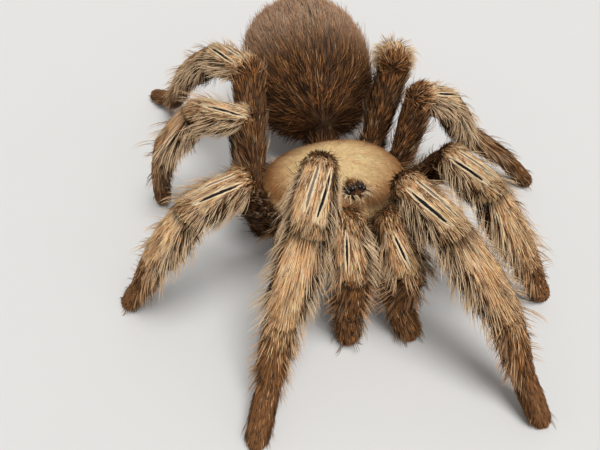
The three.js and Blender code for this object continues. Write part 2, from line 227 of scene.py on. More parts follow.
# ---- Settings that a user would change ----
class BodySettings(bpy.types.PropertyGroup):
    """Sizes and colours of the skin, the shell and the small hard pieces."""

    coat_depth: FloatProperty(
        name="Coat depth", description="How far the skin lies inside the coat, as a share of a limb's radius",
        default=0.15, min=0.05, max=0.5)
    cell: FloatProperty(
        name="Skin cell", description="Size of the skin's facets", default=0.325 * MM, unit="LENGTH")
    smoothing: IntProperty(name="Smoothing", description="Rounds of smoothing of the skin", default=4, min=0)
    skin_dark: FloatVectorProperty(
        name="Dark skin", description="Skin under the dark coat", subtype="COLOR",
        default=(0.020, 0.012, 0.008))
    skin_pale: FloatVectorProperty(
        name="Pale skin", description="Skin under the tan coat", subtype="COLOR", default=(0.46, 0.26, 0.13))
    stripe: FloatVectorProperty(
        name="Dark stripe", description="The black bare stripe along each patella", subtype="COLOR",
        default=(0.010, 0.009, 0.009))
    # Painted sheen: this stripe is black bare skin like the other, drawn grey for the gloss that catches the
    # light on it.
    sheen_stripe: FloatVectorProperty(
        name="Pale stripe", description="The grey bare stripe along each patella", subtype="COLOR",
        default=(0.23, 0.195, 0.165))
    shell: FloatVectorProperty(
        name="Shell", description="The shield of the front body", subtype="COLOR", default=(1.0, 0.67, 0.33))
    # Partly the shield's own brown rim, partly painted shade towards its edge.
    shell_edge: FloatVectorProperty(
        name="Shell edge", description="The shield near its edge and in its grooves", subtype="COLOR",
        default=(0.42, 0.22, 0.085))
    mound: FloatVectorProperty(
        name="Eye mound", description="The dark mound under the eyes", subtype="COLOR",
        default=(0.06, 0.032, 0.018))
    eye: FloatVectorProperty(
        name="Eyes", description="The glossy eyes", subtype="COLOR", default=(0.006, 0.005, 0.005))
    horn: FloatVectorProperty(
        name="Fangs and claws", description="Fangs and claws", subtype="COLOR", default=(0.012, 0.008, 0.006))


class CoatSettings(bpy.types.PropertyGroup):
    """Numbers, sizes and colours of the hairs."""

    leg_hairs: IntProperty(name="Leg hairs", description="Hairs on each leg", default=15600, min=100)
    palp_hairs: IntProperty(name="Palp hairs", description="Hairs on each palp", default=10400, min=100)
    abdomen_hairs: IntProperty(
        name="Abdomen hairs", description="Hairs on the abdomen", default=23500, min=100)
    shield_hairs: IntProperty(name="Shield hairs", description="Hairs on the shield", default=21000, min=100)
    face_hairs: IntProperty(
        name="Chelicera hairs", description="Hairs on each chelicera", default=3000, min=100)
    width: FloatProperty(
        name="Hair width", description="Half the width of a hair at its thickest", default=0.048 * MM,
        unit="LENGTH")
    tan: FloatVectorProperty(
        name="Tan", description="Tan hairs", subtype="COLOR", default=(1.0, 0.585, 0.295))
    cream: FloatVectorProperty(
        name="Cream", description="Pale hairs", subtype="COLOR", default=(1.0, 0.74, 0.47))
    rust: FloatVectorProperty(
        name="Rust", description="Orange brown hairs", subtype="COLOR", default=(0.58, 0.245, 0.08))
    brown: FloatVectorProperty(
        name="Brown", description="Brown hairs", subtype="COLOR", default=(0.27, 0.122, 0.048))
    dark: FloatVectorProperty(
        name="Dark", description="Darkest hairs", subtype="COLOR", default=(0.045, 0.022, 0.012))
    grey: FloatVectorProperty(
        name="Grey", description="Hairs of the shield round the eyes", subtype="COLOR",
        default=(0.19, 0.125, 0.075))
    gold: FloatVectorProperty(
        name="Gold", description="Short hairs of the shield", subtype="COLOR", default=(1.0, 0.68, 0.325))


class StageSettings(bpy.types.PropertyGroup):
    """The floor, the lamps and the camera."""

    floor: FloatVectorProperty(
        name="Floor", description="The plain floor", subtype="COLOR", default=(0.80, 0.79, 0.77))
    key_strength: FloatProperty(name="Key lamp", description="The broad soft lamp above", default=2.15, min=0)
    fill_strength: FloatProperty(name="Fill lamp", description="The soft lamp in front", default=0.25, min=0)
    world_strength: FloatProperty(name="World", description="Even light from all round", default=0.30, min=0)
    backdrop: FloatProperty(
        name="Backdrop", description="How pale the backdrop is", default=0.80, min=0, max=1)
    camera_place: FloatVectorProperty(
        name="Camera place", description="Where the camera stands", subtype="TRANSLATION", unit="LENGTH",
        default=(-0.017095, -0.056185, 0.0664))
    camera_turn: FloatVectorProperty(
        name="Camera turn", description="Where the camera points", subtype="EULER", unit="ROTATION",
        default=(40.13 * DEGREE, 0, -11.45 * DEGREE))
    lens: FloatProperty(name="Lens", description="Focal length on a 36 mm frame", default=34.06, min=1)


# ---- Shader sums ----
class Wire:
    """A node's output socket that stands in plain arithmetic."""

    def __init__(self, surface, socket):
        self.surface = surface
        self.socket = socket

    def sum(self, operation, first, second):
        return self.surface.add("ShaderNodeMath", {"operation": operation}, {0: first, 1: second})

    def __add__(self, other):
        return self.sum("ADD", self, other)

    def __radd__(self, other):
        return self.sum("ADD", other, self)

    def __sub__(self, other):
        return self.sum("SUBTRACT", self, other)

    def __rsub__(self, other):
        return self.sum("SUBTRACT", other, self)

    def __mul__(self, other):
        return self.sum("MULTIPLY", self, other)

    def __rmul__(self, other):
        return self.sum("MULTIPLY", other, self)

    def __abs__(self):
        return self.sum("ABSOLUTE", self, 0.0)

    def step(self, low, high):
        """0 below low and 1 above high, smooth between, or the other way round where low is the greater."""
        if low < high:
            settings = {"interpolation_type": "SMOOTHSTEP"}
            values = {"Value": self, "From Min": low, "From Max": high}
            return self.surface.add("ShaderNodeMapRange", settings, values)
        return 1 - self.step(high, low)


class Nodes:
    """The nodes of a material or of the world, and the one method that adds any of them."""

    def __init__(self, owner):
        owner.use_nodes = True
        self.tree = owner.node_tree
        self.tree.nodes.clear()

    def add(self, kind, settings=None, values=None, out=0):
        node = self.tree.nodes.new(kind)
        for key, value in (settings or {}).items():
            setattr(node, key, value)
        for key, value in (values or {}).items():
            socket = self.input_of(node, key)
            if isinstance(value, Wire):
                self.tree.links.new(value.socket, socket)
            else:
                socket.default_value = value
        return Wire(self, node.outputs[out]) if node.outputs else None

    def input_of(self, node, key):
        """The socket of a name or number, which has to be one in use."""
        if isinstance(key, int):
            return node.inputs[key]
        return [socket for socket in node.inputs if socket.enabled and socket.name.lower() == key.lower()][0]


class Surface(Nodes):
    """A material, in words for what its finish needs."""

    def __init__(self, name):
        self.material = bpy.data.materials.new(name)
        super().__init__(self.material)

    def kept(self, name, out="Fac"):
        """A number kept on the mesh, or a colour."""
        return self.add("ShaderNodeAttribute", {"attribute_name": name}, out=out)

    def noise(self, scale, detail=3.0):
        place = self.add("ShaderNodeTexCoord", out="Object")
        values = {"Vector": place, "Scale": scale, "Detail": detail, "Roughness": 0.55}
        return self.add("ShaderNodeTexNoise", {}, values, out="Fac")

    def mix(self, factor, first, second):
        settings = {"data_type": "RGBA", "blend_type": "MIX"}
        values = {"Factor": factor, 6: rgba(first), 7: rgba(second)}
        return self.add("ShaderNodeMix", settings, values, out=2)

    def bump(self, height, distance, strength):
        return self.add("ShaderNodeBump", {}, {"Height": height, "Distance": distance, "Strength": strength})

    def finish(self, **values):
        """The main shader, with sockets named in words, and the material's output."""
        names = {key.replace("_", " "): rgba(value) for key, value in values.items()}
        shader = self.add("ShaderNodeBsdfPrincipled", {}, names)
        self.add("ShaderNodeOutputMaterial", {}, {"Surface": shader})
        return self.material


def rgba(value):
    """A colour's three numbers with a fourth, and anything else as it is."""
    if isinstance(value, (Wire, int, float)):
        return value
    return (*tuple(value)[:3], 1.0)


# ---- Sums on places, ways and colours ----
def unit(vectors):
    """Vectors made one long."""
    vectors = np.asarray(vectors, float)
    return vectors / np.maximum(np.linalg.norm(vectors, axis=-1, keepdims=True), 1e-12)


def turned(lie, outward, angle):
    """Directions turned about the way out of the skin."""
    return lie * np.cos(angle)[:, None] + np.cross(outward, lie) * np.sin(angle)[:, None]


def ramp(values, start, end):
    """0 at the start and before it, 1 at the end and past it, straight between."""
    return np.clip((values - start) / (end - start), 0, 1)


def bell(values, breadth, middle=0.0):
    """1 at the middle, falling away on both sides."""
    return np.exp(-(((values - middle) / breadth) ** 2))


def mixed(first, second, share):
    """Colours part of the way from the first to the second."""
    share = np.reshape(share, (-1, 1))
    return first * (1 - share) + second * share


def curved(start, bend, end, share):
    """Points along a curve that leaves its start towards the bend and reaches its end from there."""
    share = np.reshape(share, (-1, 1)).astype(float)
    return (1 - share) ** 2 * start + 2 * share * (1 - share) * bend + share**2 * end


def on_map(turn, height):
    """Places on the bake map: the angle goes across it, and the height up it."""
    return np.stack([(turn + math.pi) / FULL_TURN % 1, height + 0 * turn], axis=1)


# ---- Places measured on the frame ----
def places_of(mesh):
    flat = np.empty(len(mesh.vertices) * 3, np.float32)
    mesh.vertices.foreach_get("co", flat)
    return flat.reshape(-1, 3)


def points_of(node):
    """The different corners of a CAD node."""
    return np.unique(places_of(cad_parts[node].data).round(7), axis=0).astype(float)


def cap_middle(cloud, before, after, radius, far_end):
    """The joint at the flat end of a part, between the directions before and after it.

    The inner side of a sharp bend cuts the end off long, so the joint is set from its outer side.
    """
    facing = unit(before + after) * (1 if far_end else -1)
    outer = unit(before - after)
    reach = cloud @ facing
    cap = cloud[reach > reach.max() - 0.3 * MM]
    middle = cap.mean(axis=0)
    return middle + outer * ((cap @ outer).max() - 0.96 * radius - middle @ outer)


def spread_of(node):
    """A part's middle and its longest direction, from the faces of its surface."""
    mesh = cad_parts[node].data
    mesh.calc_loop_triangles()
    triples = np.empty(len(mesh.loop_triangles) * 3, np.int32)
    mesh.loop_triangles.foreach_get("vertices", triples)
    faces = places_of(mesh)[triples].reshape(-1, 3, 3).astype(float)
    areas = np.linalg.norm(np.cross(faces[:, 1] - faces[:, 0], faces[:, 2] - faces[:, 0]), axis=1)[:, None]
    middles = faces.mean(axis=1)
    middle = (middles * areas).sum(axis=0) / areas.sum()
    offsets = middles - middle
    _, axes = np.linalg.eigh((offsets * areas).T @ offsets)
    return middle, axes[:, -1]


def placed(places, matrix=None):
    """Places on the level front body, in millimetres, set in the row's frame, or moved by another matrix."""
    grid = np.array(PROSOMA_MATRIX if matrix is None else matrix)
    return np.asarray(places, float) @ grid[:3, :3].T + grid[:3, 3]


def aimed(ways):
    """Ways on the level front body, turned to lie in the row's frame."""
    return np.asarray(ways, float) @ (np.array(PROSOMA_MATRIX)[:3, :3] / MM).T


def prosoma_matrix():
    """From the level front body, in millimetres, to the row's frame."""
    tilt = Matrix.Rotation(-PROSOMA["tilt"] * DEGREE, 4, "X")
    turn = Matrix.Rotation(PROSOMA["turn"] * DEGREE, 4, "Z") @ tilt
    level = Matrix.Scale(MM, 4) @ turn @ Matrix.Translation((0, 0, -PROSOMA["height"]))
    here = placed(shield_form(24, 12)[0], level)
    there = np.array([np.array(corner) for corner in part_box("carapace")])
    shift = there.mean(axis=0) - (here.min(axis=0) + here.max(axis=0)) / 2
    return Matrix.Translation(shift) @ level


def tube_faces(around, rings):
    """Faces of a tube of rings closed by a point at each end, the points coming last."""
    steps = np.arange(around)
    following = (steps + 1) % around
    faces = []
    for ring in range(rings - 1):
        low, high = ring * around, (ring + 1) * around
        faces += np.stack([low + steps, low + following, high + following, high + steps], axis=1).tolist()
    first, last = rings * around, rings * around + 1
    top = (rings - 1) * around
    faces += [[first, int(b), int(a)] for a, b in zip(steps, following)]
    faces += [[last, int(top + a), int(top + b)] for a, b in zip(steps, following)]
    return faces


def ball_form(around, rings, low=-math.pi / 2, foot=-1.0):
    """Places and faces of a ball one across, or of its part above a low angle, closed at the foot."""
    rises, turns = np.linspace(low, math.pi / 2, rings + 2)[1:-1], np.arange(around) * FULL_TURN / around
    rise, turn = np.meshgrid(rises, turns, indexing="ij")
    ball = np.stack([np.cos(rise) * np.cos(turn), np.cos(rise) * np.sin(turn), np.sin(rise)], axis=-1)
    return np.concatenate([ball.reshape(-1, 3), [[0, 0, foot]], [[0, 0, 1]]]), tube_faces(around, rings)


def shield_form(around, across, grooves=0.0):
    """Places and faces of the domed shield on the level front body, in millimetres."""
    ball, faces = ball_form(around, across - 1)
    return shield_place(ball, grooves), faces


def shield_place(ball, grooves=0.0):
    """Where points of a ball one across lie on the shield."""
    half_width, half_length = SHIELD_HALVES
    power = SHIELD["squareness"]
    ring, turn = np.hypot(ball[:, 0], ball[:, 1]), np.arctan2(ball[:, 1], ball[:, 0])
    side, back = np.cos(turn), np.sin(turn)
    reach = (np.abs(side / half_width) ** power + np.abs(back / half_length) ** power) ** (-1 / power)
    x, y = side * reach * ring, back * reach * ring
    rise = np.maximum(0, ball[:, 2])
    height = SHIELD["height"] * rise ** SHIELD["roundness"] * (1 - SHIELD["front_rise"] * y / half_length)
    upper = height - (FOVEA["depth"] * pit_mark(x, y) + grooves * groove_depth(x, y)) * rise
    z = np.where(ball[:, 2] > 0, upper, SHIELD["lip"] * ball[:, 2])
    taper = 1 - SHIELD["front_taper"] * np.maximum(0, -y / half_length) ** 2
    return np.stack([x * taper, y, z + PROSOMA["height"]], axis=-1)


def shield_top(y):
    """The height of the shield's middle line."""
    share = y / SHIELD_HALVES[1]
    dome = (1 - share**2) ** (SHIELD["roundness"] / 2)
    return PROSOMA["height"] + SHIELD["height"] * dome * (1 - SHIELD["front_rise"] * share)


def groove_depth(x, y):
    """How deep the shield's furrows run, from 0 to 1. They spread from its pit and mark off the head."""
    away = np.hypot(x, y - FOVEA["y"])
    bearing = np.degrees(np.arctan2(np.abs(x), FOVEA["y"] - y))
    reach = ramp(away, 0.8, 2.4) * ramp(away, 8.2, 4.7)
    furrows = [strength * bell(bearing, breadth, aim) for aim, breadth, strength in FURROWS]
    return np.max(furrows, axis=0) * reach


def pit_mark(x, y):
    """1 in the shield's pit, 0 away from it."""
    return bell(x, FOVEA["width"]) * bell(y, FOVEA["length"], FOVEA["y"])


PROSOMA_MATRIX = prosoma_matrix()
MOUND_MIDDLE = np.array([0, MOUND_Y, shield_top(MOUND_Y) - MOUND_SUNK])


class Segment:
    """One straight part of a limb: a round bar between two joints, with its own upper side."""

    def __init__(self, kind, start, end, upper, girth, hand=1, is_rear=False):
        self.kind = kind
        self.hand = hand  # 1 where angles grow towards the rear side of the limb, -1 where they fall
        self.is_rear = is_rear  # on the third and fourth legs, whose tibiae and metatarsi are drawn darker
        self.start = start
        self.length = float(np.linalg.norm(end - start))
        self.axis = unit(end - start)
        self.upper = unit(upper - self.axis * (upper @ self.axis))
        self.side = np.cross(self.axis, self.upper)
        self.shares, self.radii = np.array(SHAPE[kind], float).T
        self.radii = self.radii * girth * MM

    def radius(self, share):
        return np.interp(share, self.shares, self.radii)

    def outward(self, around):
        """The direction out of the skin, at an angle from the upper side."""
        return np.cos(around)[:, None] * self.upper + np.sin(around)[:, None] * self.side

    def middle(self, share, short=0.0):
        """Points on the axis, at shares of the length or of a length cut short."""
        return self.start + self.axis * (np.asarray(share) * (self.length - short))[:, None]

    def at(self, share, around, depth):
        """Points at a share of the length, an angle round it, and a share of the radius."""
        return self.middle(share) + self.outward(around) * (self.radius(share) * depth)[:, None]

    def seen_from(self, places):
        """Share of the length, angle and distance from the axis, as a share of the radius, of some places."""
        offset = places - self.start
        run = offset @ self.axis
        share = run / self.length
        across = offset - run[:, None] * self.axis
        beyond = np.maximum(np.abs(run - self.length / 2) - self.length / 2, 0)
        away = np.hypot(np.linalg.norm(across, axis=1), beyond) / self.radius(share)
        around = np.arctan2(across @ self.side, across @ self.upper)
        return share, around, away


def carried(vector, before, after):
    """A vector turned along with the bend from one direction to the next."""
    return np.array(Vector(before).rotation_difference(Vector(after)) @ Vector(vector))


def measured_limb(name):
    """The segments of a limb, from the coxa out, with their joints found between the CAD nodes."""
    side, limb = name.split("_", 1)
    kinds = PALP_KINDS if limb == "palp" else LEG_KINDS
    girth = GIRTH[limb] * MM
    nodes = [name + "_" + kind.replace("palp_", "") for kind in kinds]
    clouds = [points_of(node) for node in nodes]
    middles = [spread_of(node)[0] for node in nodes]
    start = placed([COXA_START[limb] * np.array([SIDES[side], 1, 1])])[0]
    nearest = clouds[0][np.argmin(np.linalg.norm(clouds[0] - start, axis=1))]
    joints = [start, nearest] + [(a + b) / 2 for a, b in zip(middles, middles[1:])]
    joints.append(2 * middles[-1] - joints[-1])
    for _ in range(6):
        along = [unit(b - a) for a, b in zip(joints, joints[1:])]
        joints[1] = cap_middle(clouds[0], along[0], along[1], SHAPE["femur"][0][1] * girth, False)
        for i in range(2, len(joints) - 1):
            last, first = SHAPE[kinds[i - 2]][-1][1] * girth, SHAPE[kinds[i - 1]][0][1] * girth
            near = cap_middle(clouds[i - 2], along[i - 1], along[i], last, True)
            far = cap_middle(clouds[i - 1], along[i - 1], along[i], first, False)
            joints[i] = (near + far) / 2
        foot = unit(middles[-1] - joints[-2])
        end = (clouds[-1] @ foot).max() - 0.9 * SHAPE[kinds[-1]][-1][1] * girth
        joints[-1] = joints[-2] + foot * (end - joints[-2] @ foot)
    along = [unit(b - a) for a, b in zip(joints, joints[1:])]
    uppers = [None] * len(along)
    knee = 2
    level = unit(UP - along[knee] * along[knee][2])
    roll = ROLL.get(name, 0) * DEGREE
    uppers[knee] = level * math.cos(roll) + np.cross(along[knee], level) * math.sin(roll)
    for i in range(knee + 1, len(along)):
        uppers[i] = carried(uppers[i - 1], along[i - 1], along[i])
    for i in range(knee - 1, -1, -1):
        uppers[i] = carried(uppers[i + 1], along[i + 1], along[i])
    return [
        Segment(kind, *joints[i:i + 2], uppers[i], GIRTH[limb], -SIDES[side], limb in ("leg_3", "leg_4"))
        for i, kind in enumerate(["coxa"] + kinds)
    ]


LIMBS = {name: measured_limb(name) for name in LIMB_NAMES}


class Belly:
    """The egg of the abdomen, measured on its CAD node."""

    def __init__(self):
        self.middle, back = spread_of("abdomen")
        back = back * np.sign(back[np.argmax(np.abs(back))])
        across = unit(np.array([1.0, 0, 0]) - back * back[0])
        self.axes = np.array([across, back, np.cross(across, back)])
        reach = (points_of("abdomen") - self.middle) @ self.axes.T
        self.middle = self.middle + self.axes.T @ ((reach.max(axis=0) + reach.min(axis=0)) / 2)
        self.halves = (reach.max(axis=0) - reach.min(axis=0)) / 2
        # The widest ring of an egg lies behind its middle, where it has already swelled.
        self.halves[[0, 2]] /= 1 + EGG * EGG / 2

    def at(self, turn, share, above=0.0):
        """Points on the skin, or above it, at an angle about the long axis from the top.

        The share runs from the front, -1, to the back, 1. The skin is nearer to the CAD surface in front.
        """
        depth = BELLY_DEPTH * MM * (1 - 0.6 * ramp(share, -0.3, -0.7)) - above
        swell = np.sqrt(np.maximum(0, 1 - share**2)) * (1 + EGG * share)
        ball = np.stack([np.sin(turn) * swell, share, np.cos(turn) * swell], axis=-1)
        return self.middle + (ball * (self.halves - depth[:, None])) @ self.axes

    def outward(self, turn, share):
        """The direction out of the skin."""
        swell = np.sqrt(np.maximum(0, 1 - share**2))
        ball = np.stack([np.sin(turn) * swell, share - EGG * swell**2, np.cos(turn) * swell], axis=-1)
        return unit((ball / self.halves) @ self.axes)

    def ahead(self, turn, share):
        """The direction along the skin towards the rear."""
        return unit(self.at(turn, np.minimum(share + 0.01, 1)) - self.at(turn, share - 0.01))


BELLY = Belly()


def chelicera_curve(side, share):
    """Points down the bent axis of a chelicera on the level front body, in millimetres."""
    start = np.array([side * CHELICERA["apart"] / 2, 0.3 - SHIELD_HALVES[1], CHELICERA["height"]])
    bend = start + (0, -CHELICERA["reach"], 0)
    return curved(start, bend, bend + (0, CHELICERA["tuck"], -CHELICERA["drop"]), share)


def chelicera_radius(share, depth):
    return np.interp(share, *zip(*SHAPE["chelicera"])) * depth


def bar_along(middles, radii, around=20, slim=1.0, sideways=(1.0, 0, 0)):
    """Places and faces of a round bar along a line of middles, with domed ends."""
    middles, radii = np.asarray(middles, float), np.asarray(radii, float)
    tangents = unit(np.gradient(middles, axis=0))
    rings = [(0, -out, size) for out, size in DOMED_END] + [(i, 0, 1) for i in range(len(middles))]
    rings += [(-1, out, size) for out, size in reversed(DOMED_END)]
    angles = np.arange(around) * FULL_TURN / around
    places, across = [], np.asarray(sideways, float)
    for i, out, size in rings:
        across = unit(across - tangents[i] * (across @ tangents[i]))
        other = np.cross(tangents[i], across)
        ring = np.cos(angles)[:, None] * across * slim + np.sin(angles)[:, None] * other
        places.append(middles[i] + tangents[i] * (radii[i] * out) + ring * (radii[i] * size))
    ends = [middles[0] - tangents[0] * radii[0], middles[-1] + tangents[-1] * radii[-1]]
    return np.concatenate(places + [ends]), tube_faces(around, len(rings))


def waist_line():
    """The narrow waist's start, middle and end."""
    cloud = points_of("pedicel")
    start = placed([WAIST_START])[0]
    middle = (cloud.min(axis=0) + cloud.max(axis=0)) / 2
    return start, middle, middle + (middle - start) * 1.2


def spinneret_segment(side):
    """A spinneret as a short segment that starts inside the abdomen."""
    middle, along = spread_of(side + "_spinneret")
    along = along * np.sign(along[1])
    reach = (points_of(side + "_spinneret") - middle) @ along
    start, end = middle + along * (reach.min() - 1.5 * MM), middle + along * (reach.max() - 0.3 * MM)
    return Segment("spinneret", start, end, UP, 1.0)


# ---- Meshes ----
def keep(name, mesh, material):
    """A finished piece of the spider, riding on its one body."""
    piece = bpy.data.objects.new(name, mesh)
    bpy.context.scene.collection.objects.link(piece)
    mesh.materials.clear()
    mesh.materials.append(material)
    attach(piece, "root")
    return piece


def joined(forms):
    """Several (places, faces) forms as one."""
    places, faces, count = [], [], 0
    for form_places, form_faces in forms:
        places.append(form_places)
        faces += [[corner + count for corner in face] for face in form_faces]
        count += len(form_places)
    return np.concatenate(places), faces


def mesh_of(name, places, faces):
    mesh = bpy.data.meshes.new(name)
    mesh.from_pydata(np.asarray(places).tolist(), [], faces)
    mesh.update()
    mesh.shade_smooth()
    return mesh


def put_numbers(mesh, name, numbers):
    mesh.attributes.new(name, "FLOAT", "POINT").data.foreach_set("value", np.asarray(numbers, np.float32))


def put_colours(mesh, name, colours):
    grid = np.ones((len(colours), 4), np.float32)
    grid[:, :3] = colours
    mesh.attributes.new(name, "FLOAT_COLOR", "POINT").data.foreach_set("color", grid.ravel())


def inside_room(places):
    """Places held inside the room that the coat may take up round the CAD model."""
    low, high = CAD_BOX
    spare = (high - low) * ROOM
    return np.clip(places, [low[0] - spare[0], low[1] - spare[1], HAIR_FLOOR], high + spare)


def united(name, forms, cell, smoothing):
    """One mesh round several overlapping closed forms."""
    scratch = bpy.data.objects.new(name, mesh_of(name, *joined(forms)))
    bpy.context.scene.collection.objects.link(scratch)
    remesh = scratch.modifiers.new("Union", "REMESH")
    remesh.mode = "VOXEL"
    remesh.voxel_size = cell
    smooth = scratch.modifiers.new("Smooth", "SMOOTH")
    smooth.factor = 0.5
    smooth.iterations = smoothing
    shaped = scratch.evaluated_get(bpy.context.evaluated_depsgraph_get())
    mesh = bpy.data.meshes.new_from_object(shaped)
    bpy.data.objects.remove(scratch)
    mesh.name = name
    mesh.shade_smooth()
    return mesh


# ---- Markings, shared by the skin and the coat ----
def stripe_middle(line, share):
    return line["near"] + (line["far"] - line["near"]) * share


def stripe_width(line, share):
    """A stripe's width along the patella, as a share of its greatest."""
    along = ramp(share, line["first"], line["last"])
    return (4 * along * (1 - along)) ** 0.3


def stripe_gap(around, share, stripes):
    """How far each place on a patella lies from its nearest bare stripe, in radians; below 0 on one."""
    gap = np.full_like(share, 9.0)
    for line in stripes:
        beyond = np.maximum(line["first"] - share, share - line["last"])
        off = np.abs(around - stripe_middle(line, share)) - line["half"] * stripe_width(line, share)
        gap = np.minimum(gap, np.where(beyond > 0, off + 3 * beyond + 0.02, off))
    return gap


def room_before_stripes(around, share, stripes):
    """The share of a patella's length between each place and a stripe that starts beyond it."""
    room = np.full_like(share, 9.0)
    for line in stripes:
        is_near = np.abs(around - stripe_middle(line, line["first"])) < line["half"] * 1.3
        before = np.minimum(room, line["first"] + 0.05 - share)
        room = np.where(is_near & (share < line["first"]), before, room)
    return room


def flank_of(around):
    """0 on the upper side of a limb, 1 on its flanks and below."""
    rise = ramp(np.abs(around), 0.74, 1.34)
    return rise * rise * (3 - 2 * rise)


def coat_weights(kind, share, around):
    """The chances of the five hair colours for each hair: tan, cream, rust, brown and dark."""
    weights = np.tile(np.array(COAT_MIX[kind], float), (len(share), 1))
    # Partly painted shade: more brown and dark hairs beneath a limb, and on the flanks of the pale segments,
    # where the coat shades itself; partly the limb's own darker underside and flanks.
    weights[:, 3:] += ramp(np.abs(around), 1.7, 2.5)[:, None] * (0.35, 0.2)
    if kind in LIGHT_KINDS:
        weights[:, 3:] += flank_of(around)[:, None] * (1.0, 4.0)
    if kind.endswith("patella"):
        weights[:, [2, 4]] += bell(share, 0.06)[:, None] * (0.4, 0.2)
    if kind == "tibia":
        weights[:, 3] += 0.5 * ramp(share, 0.55, 1.0)
    if kind == "metatarsus":
        weights[:, 0] += 0.55 * ramp(share, 0.55, 0)
    if kind == "femur":
        weights[:, 2] += 0.5 * bell(share, 0.12, 1)
    return weights


# ---- Hairs ----
def spike_template(rings):
    """Triangles of a three-sided closed spike and their corners' places on its patch."""
    triangles, corners = [], []
    for ring in range(rings):
        low, high = ring / rings, (ring + 1) / rings
        for k in range(3):
            a, b = ring * 3 + k, ring * 3 + (k + 1) % 3
            left, right = k / 3, (k + 1) / 3
            if ring < rings - 1:
                triangles += [(a, b, b + 3), (a, b + 3, a + 3)]
                corners.append([(left, low), (right, low), (right, high)])
                corners.append([(left, low), (right, high), (left, high)])
            else:
                triangles.append((a, b, rings * 3))
                corners.append([(left, low), (right, low), ((left + right) / 2, high)])
    triangles.append((0, 2, 1))
    corners.append([(0.0, 0.0), (0.66, 0.0), (0.33, 0.1)])
    return np.array(triangles), np.array(corners)


TEMPLATES = {rings: spike_template(rings) for rings in HAIR_WIDTHS}


